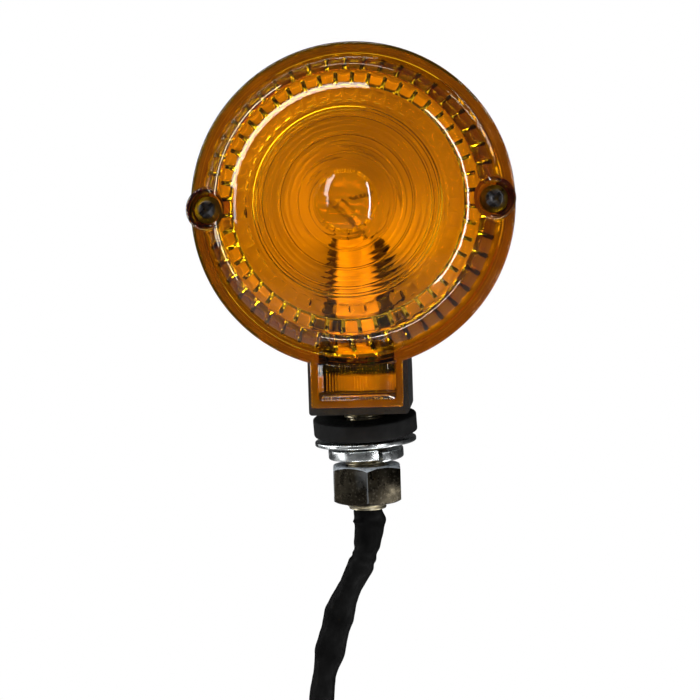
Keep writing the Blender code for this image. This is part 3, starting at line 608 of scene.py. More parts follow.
def connector(name, side):
    """The crimped sleeve and the bullet contact at one wire's end."""
    tail = HANK_X + side * 0.0054
    low, top = (corner.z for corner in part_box(f"{name}_connector_cover"))
    outside = [(0.0011, top), (0.0017, top), (0.0025, top - 0.0022), (0.0026, low), (0.0021, low)]
    inside = [(0.0020, low + 0.004), (0.0011, top - 0.002)]
    cover_path = rounded(outside + inside, mm(0.3, 0.6, 0.3, 0.1, 0.2), 3)
    cover = lathe(f"{name}_crimp_sleeve", cover_path, at_stem(tail), 40, True)
    finish_piece(cover, "pvc_black", "indicator", [f"{name}_connector_cover"])
    tip, head = (corner.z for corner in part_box(f"{name}_connector"))
    barrel = [(0, head), (0.0019, head), (0.0019, tip + 0.0048)]
    groove = [(0.0013, tip + 0.0040), (0.0013, tip + 0.0034)]
    bulge = [(0.0019, tip + 0.0027), (0.0019, tip + 0.0012), (0.0009, tip), (0, tip)]
    bullet_path = rounded(barrel + groove + bulge, mm(0.2, 0.3, 0.2, 0.2, 0.5, 0.7, 0.4), 3)
    bullet = lathe(f"{name}_bullet", bullet_path, at_stem(tail), 40)
    finish_piece(bullet, "brass", "indicator", [f"{name}_connector"])
    return cover, bullet


def lead_wires():
    for name, side in (("live", -1), ("earth", 1)):
        route = hank_route(side)
        wire = wire_curve(f"{name}_lead_wire", route, 0.0010)
        ends = connector(name, side)
        replaced = ["lead_hank", "live_wire_tail"] if side < 0 else ["earth_wire_tail"]
        finish_piece(wire, f"wire_{name}", "indicator", replaced)


def hank_tie():
    """A thin vinyl strap wound round the hank's waist."""
    low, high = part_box("hank_tie")
    middle = (low.z + high.z) / 2
    half_x, half_y, corner = 0.0079, 0.0050, 0.0022
    outline = []
    for cx, cy, start in ((1, 1, 0), (-1, 1, 90), (-1, -1, 180), (1, -1, 270)):
        for i in range(9):
            angle = math.radians(start + 90 * i / 8)
            outline.append((cx * (half_x - corner) + corner * math.cos(angle),
                            cy * (half_y - corner) + corner * math.sin(angle)))
    thick, tall = 0.0009, 0.0021
    bm = bmesh.new()
    section = ((0, -tall), (thick, -tall), (thick * 1.15, 0), (thick, tall), (0, tall), (0, 0))
    rings = []
    for x, y in outline:
        away = Vector((x, y, 0)).normalized()
        rings.append([bm.verts.new(Vector((HANK_X + x, y, middle + h)) + away * t) for t, h in section])
    bridge(bm, rings, True)
    tie = to_object("tie_of_hank", bm)
    finish_piece(tie, "pvc_black", "indicator", ["hank_tie"], 40)


lead_sleeve()
lead_wires()
hank_tie()


# ---------------------------------------------------------------- lens
ROUND_SIDES = 288
COLUMNS = 48
PER_COLUMN = 8
WALL = 2.0 * MM
BOSS_R = 7.3 * MM
DOME_TALL = 15.5 * MM
DOME_SLOPES = (  # radius in mm, degrees that the outside has turned away from the lens axis
    (0.0, 0.0),
    (28.2, 12.2),
    (29.8, 16.0),
    (31.2, 20.5),
    (33.0, 25.0),
    (34.2, 29.0),
    (34.6, 33.0),
    (35.4, 52.0),
    (36.2, 58.0),
    (39.2, 66.5),
    (39.7, 64.0),
    (39.71, 0.0),
    (40.6, 0.0),
)
RIBS = (  # radius in mm where each ring of the inside starts, and how far it bulges
    (7.3, 0.03),
    (8.6, 0.05),
    (9.8, 0.03),
    (11.0, 0.05),
    (12.2, 0.14),
    (12.7, 0.05),
    (14.4, 0.10),
    (15.6, 0.05),
    (16.8, 0.26),
    (17.5, 0.12),
    (19.0, 0.18),
    (20.3, 0.14),
    (21.6, 0.34),
    (22.4, 0.16),
    (23.4, 0.34),
    (24.2, 0.34),
    (25.2, 0.0),
)
RIM_LINES = (  # radius and height over the flange, in mm, of its beads and its fine groove
    (40.75, 0.0),
    (40.80, 0.2),
    (41.15, 0.2),
    (41.20, 0.0),
    (41.90, 0.0),
    (41.95, -0.15),
    (42.15, -0.15),
    (42.20, 0.0),
)
PILLOW_ROWS = (  # radii in mm where each row starts and ends, how far it bulges, how square it is
    (26.0, 29.2, 0.35, 3),
    (30.0, 34.4, 0.85, 5),
    (34.7, 39.4, 0.70, 6),
)


def dome_outline():
    """Radius and height of the outside, from the middle of the dome out to the flange."""
    radii = np.concatenate([np.arange(0, 28, 1.0), np.arange(28, 40.6, 0.2), [40.6]])
    table = np.array(DOME_SLOPES)
    middles = (radii[1:] + radii[:-1]) / 2
    steps = np.tan(np.radians(np.interp(middles, table[:, 0], table[:, 1]))) * np.diff(radii)
    drop = np.concatenate([[0], np.cumsum(steps)])
    return radii * MM, FLANGE + DOME_TALL * (1 - drop / drop[-1])


def lens_outside():
    """The outer outline with the round boss, set in a fine groove, at its centre."""
    boss = [(r, FLANGE + 16.3 * MM - 1.9 * MM * (r / BOSS_R) ** 2) for r in np.linspace(0, BOSS_R, 20)]
    dome = [(r, h) for r, h in zip(*dome_outline()) if r > BOSS_R]
    return boss + dome + [(r * MM, FLANGE + h * MM) for r, h in RIM_LINES]


def cushion(t, square):
    """A pillow across 0 to 1, with a flatter top the squarer it is."""
    return 1 - abs(2 * t - 1) ** square


def optics_at(radius, angle):
    """How much thicker than its wall the lens is, where its outer surface has this radius."""
    for (start, tall), (end, _) in zip(RIBS, RIBS[1:]):
        part = (radius / MM - start) / (end - start)
        if 0 < part < 1:
            return tall * MM * (1 - (2 * part - 1) ** 2)
    column = angle / (2 * math.pi) * COLUMNS
    for row, (low, high, tall, square) in enumerate(PILLOW_ROWS):
        part = (radius / MM - low) / (high - low)
        if 0 < part < 1:
            return tall * MM * cushion(part, square) * cushion((column + 0.5 * (row % 2)) % 1, square)
    return 0.0


def optics_radii():
    """The radii where the inner surface is sampled, both sides of each step."""
    radii = list(np.arange(0, BOSS_R, 0.5 * MM))
    for (start, _), (end, _) in zip(RIBS, RIBS[1:]):
        radii += [(start + (end - start) * part) * MM for part in (0.02, 0.15, 0.32, 0.5, 0.68, 0.85, 0.98)]
    for low, high, _, _ in PILLOW_ROWS:
        parts = (0, 0.04, 0.1, 0.2, 0.35, 0.5, 0.65, 0.8, 0.9, 0.96, 1)
        radii += [(low + (high - low) * part) * MM for part in parts]
    return radii + [40.2 * MM]


def lens_cavity():
    """The hollow behind the lens wall, its face carrying all the optics."""
    outline = np.array(dome_outline())
    tangent = np.gradient(outline, axis=1)
    normal = np.stack([-tangent[1], tangent[0]])
    normal /= np.linalg.norm(normal, axis=0)
    sides = COLUMNS * PER_COLUMN
    angles = [2 * math.pi * k / sides for k in range(sides)]
    bm = bmesh.new()

    def ring(sizes):
        places = [Vector((r * math.cos(a), r * math.sin(a), h)) for a, (r, h) in zip(angles, sizes)]
        return [bm.verts.new(at_lens() @ place) for place in places]

    rings = [[bm.verts.new(at_lens() @ Vector((0, 0, outline[1][0] - WALL)))]]
    for radius in optics_radii()[1:]:
        height, out, up = (np.interp(radius, outline[0], row) for row in (outline[1], *normal))
        thick = [WALL + optics_at(radius, angle) for angle in angles]
        rings.append(ring([(radius - t * out, height - t * up) for t in thick]))
    for height in (LENS_BACK + 0.8 * MM, LENS_BACK - 2 * MM):
        rings.append(ring([(38.3 * MM, height)] * sides))
    bridge(bm, rings)
    bm.faces.new(rings[-1])
    return to_object("cavity", bm)


def joined(name, parts):
    """Several meshes as one object."""
    bm = bmesh.new()
    for part in parts:
        bm.from_mesh(part.data)
        bpy.data.objects.remove(part)
    return to_object(name, bm)


def across(name, corner, opposite, low, high):
    """A block between two (x, z) corners, from one depth in front of the joint to another."""
    (left, bottom), (right, top) = corner, opposite
    outline = [(left, bottom), (right, bottom), (right, top), (left, top)]
    return prism(name, [(x, z - LENS_Z) for x, z in outline], low, high, at_lens())


def lens():
    """The amber moulding: dome with optics inside, flange, window box and two ears."""
    rim = rounded([(41.2 * MM, FLANGE), (RIM_R, FLANGE), (RIM_R, LENS_BACK), (0, LENS_BACK)], mm(0.6, 0.2))
    path = lens_outside() + rim[1:]

    def boss_and_beads(place, angle):
        radius = math.hypot(place.x, place.y)
        if radius < BOSS_R:
            return Vector((0, 0, 0.85 * MM * (place.y / BOSS_R) ** 2))
        if radius > 40.7 * MM and place.z > FLANGE + 0.1 * MM:
            return Vector((0, 0, -0.08 * MM * (1 + math.cos(ROUND_SIDES / 2 * angle))))
        return Vector()

    body = lathe("lens_moulding", path, at_lens(), ROUND_SIDES, wobble=boss_and_beads)
    proud = FLANGE + 1.7 * MM
    carve(body, window_box(proud), operation="UNION")
    carve(body, rim_over_window(proud), operation="UNION")
    carve(body, window_recess(WINDOW_HALF - 1.8 * MM))
    carve(body, lens_cavity())
    carve(body, joined("ears", [screw_ear(-EAR_X), screw_ear(EAR_X)]), operation="UNION")
    carve(body, joined("wells", [screw_well(-EAR_X), screw_well(EAR_X)]))
    finish_piece(body, "amber_lens", "lens_unit", ["lens"], 26)


def window_box(proud):
    """The square skirt below the dome: a flat border round a raised panel with sloping sides."""
    top = LENS_Z - RIM_R + 6 * MM
    skirt = across("skirt", (-WINDOW_HALF, WINDOW_LOW), (WINDOW_HALF, top), LENS_BACK, FLANGE)
    soften(skirt, 0.5 * MM, 3)
    border, slope, low_slope = mm(1.3, 2.4, 1.9)
    inset = WINDOW_HALF - border
    panel = across("panel", (-inset, WINDOW_LOW + border), (inset, top), FLANGE - MM, proud)
    for vertex in panel.data.vertices:
        if vertex.co.y < JOINT_Y - FLANGE:
            vertex.co.x -= math.copysign(slope, vertex.co.x)
            vertex.co.z += low_slope if vertex.co.z < top - MM else 0
    soften(panel, 0.5 * MM, 4, 20)
    return carve(skirt, panel, operation="UNION")


def rim_over_window(proud):
    """The stepped rim of the round part where it runs across above the window."""
    inner, step, shoulder, outer = mm(39.9, 41.1, 41.3, 42.8)
    low = FLANGE - MM
    path = [(inner, low), (inner, proud + 0.5 * MM), (step, proud + 0.5 * MM), (shoulder, proud + 0.1 * MM)]
    path += [(42.2 * MM, proud + 0.1 * MM), (outer, proud - 0.5 * MM), (outer, low)]
    rim = lathe("rim", path, at_lens(), ROUND_SIDES, True)
    half = WINDOW_HALF - 1.4 * MM
    sector = across("sector", (-half, 0), (half, LENS_Z - 30 * MM), LENS_BACK - MM, proud + 5 * MM)
    return carve(rim, sector, operation="INTERSECT")


def screw_ear(x):
    """A round boss on the rim whose top slopes down away from the dome."""
    tall, radius = mm(8.6, 5.6)
    middle = FLANGE + tall
    corners = [(0, LENS_BACK), (radius, LENS_BACK), (radius, middle), (0, middle)]
    ear = lathe("ear", rounded(corners, mm(0.2, 0.7), 5), at_lens(x), 64)
    for vertex in ear.data.vertices:
        if vertex.co.y < JOINT_Y - middle + MM:
            away = math.hypot(vertex.co.x, vertex.co.z - LENS_Z)
            vertex.co.y += tall - np.interp(away, mm(31, 36, 44), mm(9.9, 9.1, 6.2))
    return ear


def screw_well(x):
    """The counterbore and the clearance hole for one screw."""
    hole, well, top = mm(2.4, 4.4, 20)
    low, seat = LENS_BACK - MM, FLANGE + 2.5 * MM
    path = [(0, low), (hole, low), (hole, seat), (well, seat), (well, top), (0, top)]
    return lathe("well", path, at_lens(x), 64)


def window_recess(half):
    """The hollow behind the window panel, its face fluted from side to side."""
    count, steps = 26, 4
    back = LENS_BACK - MM
    outline = [(half, back)]
    for i in range(count * steps + 1):
        part = i / (count * steps)
        flute = 0.10 * MM * abs(math.cos(math.pi * part * count))
        outline.append((half * (1 - 2 * part), FLANGE - 1.4 * MM + flute))
    outline.append((-half, back))
    frame_matrix = Matrix.Translation((0, JOINT_Y, 0)) @ Matrix.Diagonal((1, -1, 1, 1))
    return prism("recess", outline, WINDOW_LOW + 2.2 * MM, WINDOW_LOW + 11.6 * MM, frame_matrix)


lens()


# ---------------------------------------------------------------- housing and reflector
def along_y(outline, half, name):
    """An outline of (y, z) points run from -half to half along X."""
    frame_matrix = Matrix(((0, 0, 1, 0), (1, 0, 0, 0), (0, 1, 0, 0), (0, 0, 0, 1)))
    return prism(name, outline, -half, half, frame_matrix)


def box(name, low, high):
    """A plain box between two corners."""
    outline = [(low[0], low[1]), (high[0], low[1]), (high[0], high[1]), (low[0], high[1])]
    return prism(name, outline, low[2], high[2])


def stick(name, start, end, radius, sides=48):
    """A round bar between two points."""
    start, end = Vector(start), Vector(end)
    turn = Vector((0, 0, 1)).rotation_difference(end - start).to_matrix().to_4x4()
    frame_matrix = Matrix.Translation(start) @ turn
    reach = (end - start).length
    return lathe(name, [(0, 0), (radius, 0), (radius, reach), (0, reach)], frame_matrix, sides)


BOWL = mm((41.2, -4), (40.9, -11), (37.8, -18), (32, -24), (22, -28.2), (10, -30.1))
BOWL_ROUNDS = mm(5, 8, 9, 9, 9)


def housing():
    """The black bowl behind the lens, with the neck that the stem screws into."""
    ahead = JOINT_Y - 10 * MM
    outer = rounded(mm((42.5, 2), (42.5, -3)) + BOWL + [(0, -30.5 * MM)], mm(0.5, 0.8) + BOWL_ROUNDS, 6)
    floor = [(r - 1.4 * MM, h + 2.2 * MM) for r, h in BOWL[2:]]
    inner = rounded(mm((39.7, 2), (38.4, -11)) + floor + [(0, -28.3 * MM)], BOWL_ROUNDS, 6)
    body = lathe("housing_shell", outer + inner[::-1], at_lens(), 128, True)
    carve(body, neck(ahead, inner), operation="UNION")
    for x in (-EAR_X, EAR_X):
        carve(body, insert_boss(x), operation="UNION")
    chamber = mm((10.3, 6), (10.3, 10.3), (3, 22.2), (1, 27))
    carve(body, along_y([(ahead, 6 * MM)] + chamber + [(ahead, 27 * MM)], 11.3 * MM, "chamber"))
    carve(body, box("facing", (-0.06, JOINT_Y - 0.02, -0.01), (0.06, JOINT_Y, 0.12)))
    for x in (-EAR_X, EAR_X):
        carve(body, stick("bore", (x, ahead, LENS_Z), (x, JOINT_Y + 10.5 * MM, LENS_Z), 3.1 * MM))
    carve(body, stick("post", (0, 0.0001, 0.0162), (0, 0.0060, 0.0162), 3.4 * MM), operation="UNION")
    carve(body, stick("post_bore", (0, -0.01, 0.0162), (0, 0.0050, 0.0162), 1.8 * MM))
    carve(body, stick("stem_bore", (0, 0, -0.01), (0, 0, 0.009), 6.3 * MM, 64))
    finish_piece(body, "black_plastic", "indicator", ["housing"], 30)


def neck(ahead, inner):
    """The square neck, cut off where the bowl's inside begins."""
    behind = mm((12.5, 0), (12.5, 11), (4.5, 24))
    block = along_y([(ahead, 0)] + behind + [(ahead, 24 * MM)], 13.5 * MM, "neck")
    soften(block, 0.9 * MM, 4)
    inside = mm((0, 4), (40.4, 4)) + [(p.x + 0.7 * MM, p.y) for p in inner[1:-1]] + [(0, -28.9 * MM)]
    return carve(block, lathe("inside", inside, at_lens(), 96))


def insert_boss(x):
    """A boss round one threaded insert, kept within the bowl's wall."""
    boss = stick("boss", (x, JOINT_Y - 3 * MM, LENS_Z), (x, JOINT_Y + 12 * MM, LENS_Z), 4.6 * MM)
    limit = mm((0, 4), (41.5, 4), (40.2, -4), (39.4, -11), (38.8, -13), (0, -13))
    return carve(boss, lathe("limit", limit, at_lens(), 96), operation="INTERSECT")


def reflector():
    """The bright dish with its rim turned out flat."""
    thick = 0.35 * MM
    dish = mm((39.1, -1.2), (32.8, -1.2), (31.8, -4.5), (28, -13), (20, -20), (10, -24), (0, -25.2))
    radii = mm(1, 1.5, 7, 8, 9)
    front = rounded([(r, h + thick) for r, h in dish], radii, 8)
    back = rounded([(r, h - thick) for r, h in dish], radii, 8)
    body = lathe("reflector_dish", front + back[::-1], at_lens(), 144)
    cuts = [box("slot", (-0.0093, JOINT_Y - 0.01, LENS_Z - 0.045), (0.0093, 0.02, LENS_Z - 0.010))]
    for x in (-EAR_X, EAR_X):
        cuts.append(stick("notch", (x, JOINT_Y - 0.01, LENS_Z), (x, JOINT_Y + 0.02, LENS_Z), 5.4 * MM))
    carve(body, joined("reflector_cuts", cuts))
    finish_piece(body, "reflector_chrome", "indicator", ["reflector"], 35)


# ---------------------------------------------------------------- bulb and its holder
BULB_Y = (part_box("bulb_glass")[0].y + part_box("bulb_glass")[1].y) / 2
CAP_LOW, CAP_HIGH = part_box("bulb_cap")[0].z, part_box("bulb_cap")[1].z
GLOBE_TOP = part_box("bulb_glass")[1].z
GLOBE_R = (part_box("bulb_glass")[1].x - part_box("bulb_glass")[0].x) / 2
SOCKET_LOW, SOCKET_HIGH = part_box("bulb_socket")[0].z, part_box("bulb_socket")[1].z


def bulb_glass():
    """The clear round globe, drawn in to a neck that goes down inside the base."""
    middle = GLOBE_TOP - GLOBE_R
    neck, wall = mm(6.7, 0.6)
    turns = np.linspace(0, math.radians(140), 40)
    outer = [(GLOBE_R * math.sin(turn), middle + GLOBE_R * math.cos(turn)) for turn in turns]
    outer += rounded([outer[-1], (neck, CAP_HIGH + 1.0 * MM), (neck, CAP_HIGH - 4.0 * MM)], mm(1.5), 6)[1:]
    inner = [(max(r - wall, 0.0), h - wall * max(0.0, (h - middle) / GLOBE_R)) for r, h in reversed(outer)]
    globe = lathe("bulb_globe", outer + inner, at_stem(y=BULB_Y), 72)
    finish_piece(globe, "bulb_glass", "bulb", ["bulb_glass"], 50)


def bulb_cap():
    """The bayonet base: a drawn cup with a rolled rim and a bead above the pins."""
    opening, foot, radius, skin = mm(3.4, 6.3, 7.5, 0.4)
    wall = radius - skin
    corners = [(opening, CAP_LOW), (foot, CAP_LOW), (radius, CAP_LOW + 1.2 * MM)]
    corners += [(radius, CAP_HIGH - 2.6 * MM), (radius - 0.35 * MM, CAP_HIGH - 2.0 * MM)]
    corners += [(radius, CAP_HIGH - 1.3 * MM), (radius, CAP_HIGH)]
    outer = rounded(corners, mm(0.5, 0.5, 0.4, 0.4, 0.3))
    inner = [(wall, CAP_HIGH), (wall, CAP_LOW + 1.8 * MM)]
    inner += [(radius - 1.6 * MM, CAP_LOW + 0.6 * MM), (opening, CAP_LOW + 0.6 * MM)]
    cap = lathe("bulb_base", outer + inner, at_stem(y=BULB_Y), 64, True)
    cuts = []
    for side, reach in (("left", -4 * MM), ("right", 4 * MM)):
        low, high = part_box(f"bulb_pin_{side}")
        middle, across_pin = (low + high) / 2, Vector((reach, 0, 0))
        cuts.append(stick("pin_hole", middle - across_pin, middle + across_pin, 1.25 * MM, 24))
    carve(cap, joined("pin_holes", cuts))
    finish_piece(cap, "nickel", "bulb", ["bulb_cap"], 40, "drawn_barrel")


def bulb_socket():
    """The bayonet barrel with its rolled mouth and its two hooked slots."""
    outer, skin, lip, wide = mm(8.5, 0.7, 5.0, 1.4)
    corners = [(outer, SOCKET_HIGH), (outer, SOCKET_LOW), (lip, SOCKET_LOW), (lip, SOCKET_LOW + skin)]
    corners += [(outer - skin, SOCKET_LOW + skin), (outer - skin, SOCKET_HIGH)]
    path = rounded(corners, mm(0.6, 0.1, 0.1, 0.3), 3)
    barrel = lathe("bayonet_barrel", path, at_stem(y=BULB_Y), 96, True)
    pin_z = sum(corner.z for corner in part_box("bulb_pin_left")) / 2
    for side in (-1, 1):
        for i in range(4):
            top = SOCKET_HIGH + MM if i == 3 else pin_z + wide
            leg = box("leg", (-wide, 4 * MM, pin_z - wide - 1.6 * MM), (wide, 12 * MM, top))
            turn = Matrix.Rotation(math.radians(6 * i - 90 * side), 4, "Z")
            leg.data.transform(at_stem(y=BULB_Y) @ turn)
            carve(barrel, leg)
    finish_piece(barrel, "nickel", "indicator", ["bulb_socket"], 35, "drawn_barrel")


def contact_spring():
    """The coil under the contact, its ends closed up."""
    low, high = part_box("contact_spring")
    wire, radius = 0.25 * MM, 2.1 * MM
    turns, per_turn = 5, 16
    count = turns * per_turn
    route = []
    for i in range(count + 1):
        part = i / count
        eased = part - 0.8 * math.sin(2 * math.pi * part) / (2 * math.pi)
        angle = 2 * math.pi * i / per_turn
        height = low.z + wire + (high.z - low.z - 2 * wire) * eased
        route.append((radius * math.cos(angle), BULB_Y + radius * math.sin(angle), height))
    coil = to_mesh(wire_curve("contact_coil", route, wire, 2))
    finish_piece(coil, "nickel", "indicator", ["contact_spring"])
    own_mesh(coil)


def to_mesh(curve_object):
    """The same piece as a mesh."""
    name = curve_object.name
    evaluated = curve_object.evaluated_get(bpy.context.evaluated_depsgraph_get())
    mesh = bpy.data.meshes.new_from_object(evaluated)
    bpy.data.objects.remove(curve_object)
    piece = bpy.data.objects.new(name, mesh)
    bpy.context.scene.collection.objects.link(piece)
    return piece


def filament():
    """A fine bowed coil between the two posts."""
    low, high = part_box("filament")
    half = (high.x - low.x) / 2 - 0.1 * MM
    turns, per_turn = 22, 10
    route = []
    for i in range(turns * per_turn + 1):
        part = 2 * i / (turns * per_turn) - 1
        angle = 2 * math.pi * i / per_turn
        bow = low.z + 0.4 * MM + 1.0 * MM * (1 - part**2)
        route.append((part * half, BULB_Y + 0.28 * MM * math.cos(angle), bow + 0.28 * MM * math.sin(angle)))
    coil = wire_curve("filament_coil", route, 0.07 * MM, 1)
    finish_piece(coil, "tungsten", "bulb", ["filament"])


# ---------------------------------------------------------------- stem, washers, nut and screws
PITCH = 1.5 * MM


def hexagon(corner, first):
    """The corners of a hexagon, the first of them at the given number of degrees."""
    turns = [math.radians(first + 60 * k) for k in range(6)]
    return [(corner * math.cos(turn), corner * math.sin(turn)) for turn in turns]


def stem_bolt():
    """The hollow stem with a cut thread and its hexagon head inside the neck."""
    low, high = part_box("stem_bolt")
    radius, bore, deep = mm(6.0, 3.8, 0.75)
    plain = radius - 0.1 * MM
    under_head, thread_top = high.z - 4.0 * MM, -1.0 * MM
    step = PITCH / 8
    heights = [low.z + 0.05 * MM + i * step for i in range(int((thread_top - low.z) / step))]
    path = [(bore, low.z), (radius - deep, low.z)] + [(radius, height) for height in heights]
    path += [(plain, thread_top + 0.3 * MM), (plain, under_head), (bore, under_head)]

    def thread(place, angle):
        if place.z > thread_top or math.hypot(place.x, place.y) < radius - 0.05 * MM:
            return Vector()
        turn = (place.z / PITCH - angle / (2 * math.pi)) % 1
        cut = min(1.0, max(0.0, 1.5 - 3.6 * abs(turn - 0.5)))
        run_in = min(1.0, (place.z - low.z) / (1.2 * MM))
        depth = deep * (1 - (1 - cut) * run_in)
        return Vector((math.cos(angle), math.sin(angle), 0)) * -depth

    shank = lathe("threaded_stem", path, at_stem(), 80, True, thread)
    below, wide = under_head - MM, 14 * MM
    head = prism("stem_head", hexagon(9.5 * MM / math.cos(math.pi / 6), 90), under_head, high.z)
    barrel = [(0, below), (wide, below), (wide, high.z - 1.6 * MM), (9.3 * MM, high.z), (0, high.z)]
    carve(head, lathe("head_chamfer", barrel, at_stem(), 64), operation="INTERSECT")
    carve(head, stick("passage", (0, 0, below), (0, 0, high.z + MM), bore))
    stem = joined("stem_with_thread", [shank, head])
    finish_piece(stem, "zinc_plate", "indicator", ["stem_bolt"], 28, "stem_metal")


WASHER_BORE = 6.7 * MM


def leaning(name, pitch=1.5):
    """A frame at the middle of one of the loose washers, which hang askew on the stem."""
    low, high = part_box(name)
    lean = Euler((math.radians(pitch), math.radians(-2), 0)).to_matrix().to_4x4()
    return Matrix.Translation((0, 0, (low.z + high.z) / 2)) @ lean


def ring_section(inner, outer, half, corner):
    """The closed outline of a ring's section with rounded outer corners."""
    corners = [(inner, -half), (inner, half), (outer, half), (outer, -half), (inner, -half)]
    return rounded(corners, (corner / 2, corner, corner))[:-1]


def rubber_washer():
    def uneven(place, angle):
        return Vector((math.cos(angle), math.sin(angle), 0)) * 0.12 * MM * noise.noise(place * 260)

    path = ring_section(WASHER_BORE, 14.8 * MM, 2.4 * MM, 0.5 * MM)
    washer = lathe("rubber_ring", path, leaning("rubber_washer", pitch=6.5), 144, True, uneven)
    finish_piece(washer, "rubber_black", "washers", ["rubber_washer"], 40)


def flat_washer():
    path = ring_section(WASHER_BORE, 14.5 * MM, 0.65 * MM, 0.45 * MM)
    washer = lathe("plated_ring", path, leaning("flat_washer"), 144, True)
    finish_piece(washer, "zinc_plate", "washers", ["flat_washer"], 35)


def lock_washer():
    """A square-section spring ring, cut through and sprung apart."""
    thick, rise = 2.8 * MM, 0.8 * MM
    section = ring_section(WASHER_BORE, 10.75 * MM, thick / 2, 0.5 * MM)
    frame_matrix = leaning("lock_washer")
    bm = bmesh.new()
    steps = 110
    rings = []
    for i in range(steps + 1):
        angle = math.radians(-60 + 353 * i / steps)
        lift = rise * (i / steps - 0.5)
        places = [Vector((r * math.cos(angle), r * math.sin(angle), h + lift)) for r, h in section]
        rings.append([bm.verts.new(frame_matrix @ place) for place in places])
    bridge(bm, rings)
    bm.faces.new(rings[0])
    bm.faces.new(rings[-1])
    washer = to_object("spring_ring", bm)
    finish_piece(washer, "zinc_plate", "washers", ["lock_washer"], 35)


def mounting_nut():
    """The hexagon nut: corners turned off to 30 degrees, thread countersunk at both ends."""
    low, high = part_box("mounting_nut")
    flats, hole, sink = mm(9.5, 6.4, 0.7)
    corner = flats / math.cos(math.pi / 6)
    nut = prism("nut_with_thread", hexagon(corner, 35), low.z, high.z)
    face, reach = flats * 0.97, corner + 0.2 * MM
    edge = (corner - face) * math.tan(math.radians(32))
    barrel = [(0, high.z), (face, high.z), (reach, high.z - edge)]
    barrel += [(reach, low.z + edge), (face, low.z), (0, low.z)]
    carve(nut, lathe("chamfer", barrel, at_stem(), 128), operation="INTERSECT")
    mouth = hole + sink + MM
    bore = [(0, low.z - MM), (mouth, low.z - MM), (hole, low.z + sink)]
    bore += [(hole, high.z - sink), (mouth, high.z + MM), (0, high.z + MM)]
    carve(nut, lathe("bore", bore, at_stem(), 96))
    soften(nut, 0.30 * MM, 2, 20)
    finish_piece(nut, "dark_zinc", "nut", ["mounting_nut"], 24)


def lens_screw(side):
    """A pan head screw with a tapered cross recess."""
    name = f"lens_screw_{side}"
    low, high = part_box(name)
    x = (low.x + high.x) / 2
    top = JOINT_Y - low.y + 0.9 * MM
    seat, shoulder, tip = top - 3.2 * MM, -8.5 * MM, -9.5 * MM
    head, shank = mm(3.6, 1.9)
    corners = [(0, top), (2.2 * MM, top - 0.1 * MM), (head, top - 1.1 * MM), (head, seat)]
    corners += [(shank, seat), (shank, shoulder), (0.9 * MM, tip), (0, tip)]
    path = rounded(corners, mm(0.9, 0.8, 0.3, 0.1, 0.1, 0.1), 5)
    screw = lathe(f"pan_screw_{side}", path, at_lens(x), 64)
    on_top = at_lens(x) @ Matrix.Translation((0, 0, top))
    wide, long = mm(0.62, 2.15)
    cross = [(-wide, -long), (wide, -long), (wide, long), (-wide, long)]
    for turn in (38, 128):
        carve(screw, prism("arm", cross, -1.6 * MM, MM, on_top @ Matrix.Rotation(math.radians(turn), 4, "Z")))
    pit = mm((0, -1.9), (0.9, -1.7), (1.35, 1), (0, 1))
    carve(screw, lathe("pit", pit, on_top, 24))
    soften(screw, 0.12 * MM, 2, 40)
    finish_piece(screw, "black_screw", f"screw_{side}", [name], 28)


housing()
reflector()
bulb_glass()
bulb_cap()
bulb_socket()
contact_spring()
filament()
stem_bolt()
rubber_washer()
flat_washer()
lock_washer()
mounting_nut()
for hand in ("left", "right"):
    lens_screw(hand)


# ---------------------------------------------------------------- pieces kept as they are
KEPT = {
    "rubber_black": ("lens_gasket",),
    "brass": (
        "screw_insert_left", "screw_insert_right", "contact_plunger", "live_terminal", "earth_terminal",
        "bulb_pin_left", "bulb_pin_right",
    ),
    "phenolic": ("socket_insulator", "bulb_insulator"),
    "nickel": ("socket_bracket", "bulb_contact", "filament_post_left", "filament_post_right"),
    "zinc_plate": ("bracket_screw",),
    "bulb_glass": ("glass_pinch",),
    "wire_live": ("live_wire",),
    "wire_earth": ("earth_wire",),
}
for slot_name, node_names in KEPT.items():
    for node_name in node_names:
        node = bpy.data.objects[node_name]
        node.data.materials.clear()
        node.data.materials.append(MATERIALS["grey_rubber" if node_name == "lens_gasket" else slot_name])


# ---------------------------------------------------------------- floor, backdrop and light
def white_surface(name, corners, bounce):
    """A plain pale sheet, evenly white to the camera, that throws a share of the light back."""
    look = Look(name, Roughness=0.9)
    look.set(Base_Color=look.ramp(look.noise(6.0), 0.3, bounce * 0.97, 0.7, bounce))
    look.show_rays("Is Camera Ray", look.node("Emission"))
    mesh = bpy.data.meshes.new(name)
    mesh.from_pydata([Vector(corner) for corner in corners], [], [(0, 1, 2, 3)])
    mesh.materials.append(look.material)
    sheet = bpy.data.objects.new(name, mesh)
    bpy.context.scene.collection.objects.link(sheet)
    return sheet


def studio_air():
    """White where the camera looks past the set, and a dim grey room for every other ray."""
    world = bpy.data.worlds.new("studio")
    world.use_nodes = True
    nodes, links = world.node_tree.nodes, world.node_tree.links
    room = nodes["Background"]
    room.inputs["Color"].default_value = (0.80, 0.82, 0.86, 1)
    room.inputs["Strength"].default_value = 0.06
    white = nodes.new("ShaderNodeBackground")
    white.inputs["Color"].default_value = (1, 1, 1, 1)
    rays = nodes.new("ShaderNodeLightPath")
    share = nodes.new("ShaderNodeMixShader")
    links.new(rays.outputs["Is Camera Ray"], share.inputs["Fac"])
    links.new(room.outputs["Background"], share.inputs[1])
    links.new(white.outputs["Background"], share.inputs[2])
    links.new(share.outputs["Shader"], nodes["World Output"].inputs["Surface"])
    bpy.context.scene.world = world


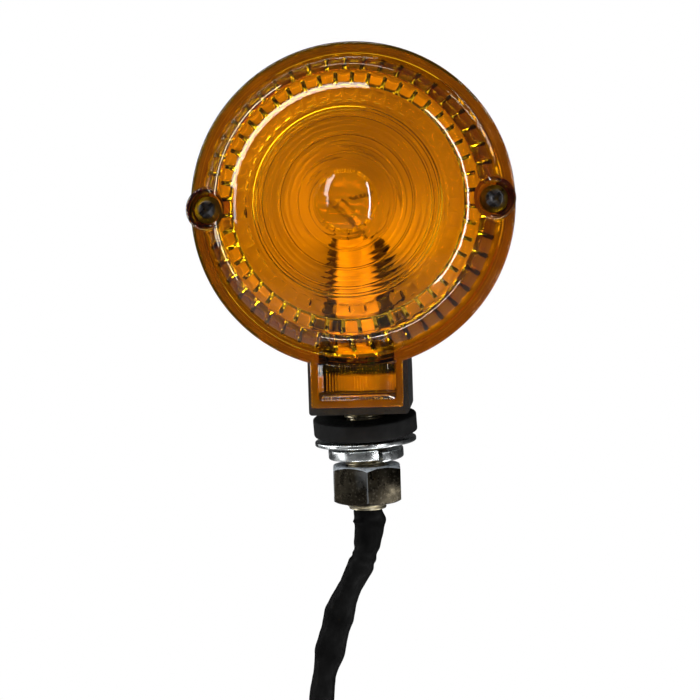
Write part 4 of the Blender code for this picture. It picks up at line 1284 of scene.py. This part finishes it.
def lamp_bar(name, polar, first, last, distance, thick, radiance):
    """A straight bar light that faces the lens from polar degrees off its axis.

    Its ends stand at two turns about the axis, counted from the right towards the top.
    """
    off_axis, turn = math.radians(polar), math.radians((first + last) / 2)
    outward = Vector((math.cos(turn), 0, math.sin(turn)))
    along = Vector((-math.sin(turn), 0, math.cos(turn)))
    away = outward * math.sin(off_axis) - Vector((0, math.cos(off_axis), 0))
    light = bpy.data.lights.new(name, "AREA")
    light.shape = "RECTANGLE"
    light.size = 2 * distance * math.sin(off_axis) * math.tan(math.radians(last - first) / 2)
    light.size_y = thick
    light.energy = radiance * math.pi * light.size * light.size_y
    lamp = bpy.data.objects.new(name, light)
    turned = Matrix((along, away.cross(along), away)).transposed().to_4x4()
    lamp.matrix_world = Matrix.Translation(Vector((0, JOINT_Y, LENS_Z)) + distance * away) @ turned
    bpy.context.scene.collection.objects.link(lamp)
    return lamp


def lamp_arc(name, polars, turns, pieces, distance, spread, radiance):
    """Short bars end to end round the lens axis; spread is their width seen from the lens, in degrees."""
    thick = 2 * distance * math.tan(math.radians(spread) / 2)
    step = (turns[1] - turns[0]) / pieces
    for i in range(pieces):
        polar = polars[0] + (polars[1] - polars[0]) * (i + 0.5) / pieces
        first = turns[0] + i * step
        lamp_bar(f"{name}_{i}", polar, first, first + step, distance, thick, radiance)


def studio():
    floor_z = cad_box[0].z - 0.5 * MM
    side, back, top, bounce = 3, 2.2, 3.5, 0.35
    front_corners = [(-side, -side, floor_z), (side, -side, floor_z)]
    join = [(side, back, floor_z), (-side, back, floor_z)]
    floor = white_surface("floor", front_corners + join, bounce)
    wall = white_surface("backdrop", join[::-1] + [(side, back, top), (-side, back, top)], bounce)
    studio_air()
    lamp_arc("key", (44, 45.5), (86, 165), 6, 0.60, 7, 11)
    lamp_arc("left_back", (80, 76), (120, 228), 5, 0.55, 5, 18)
    lamp_bar("left_bar", 41, 163, 180, 0.55, 0.03, 9)
    lamp_arc("right_strip", (39, 45.5), (-38, 57), 6, 0.55, 2.6, 24)
    lamp_arc("right_low_strip", (38, 39), (-83, -38), 4, 0.55, 3.8, 24)
    lamp_arc("low_strip", (84, 82), (-109, -36), 4, 0.24, 5, 20)
    lamp_bar("left_rear", 102, 170, 190, 0.6, 0.25, 5)
    lamp_bar("top_rear", 112, 76, 104, 1.0, 0.10, 4)
    fill = lamp_bar("fill", 24, -70, 10, 1.2, 0.5, 0.9)
    above = lamp_bar("above", 84, 60, 120, 1.0, 0.5, 1.0)
    beside = lamp_bar("side", 80, -40, 20, 1.0, 0.5, 1.3)
    for lamp in (fill, above, beside):
        lamp.visible_glossy = False


studio()
bpy.context.scene.view_settings.view_transform = "Standard"
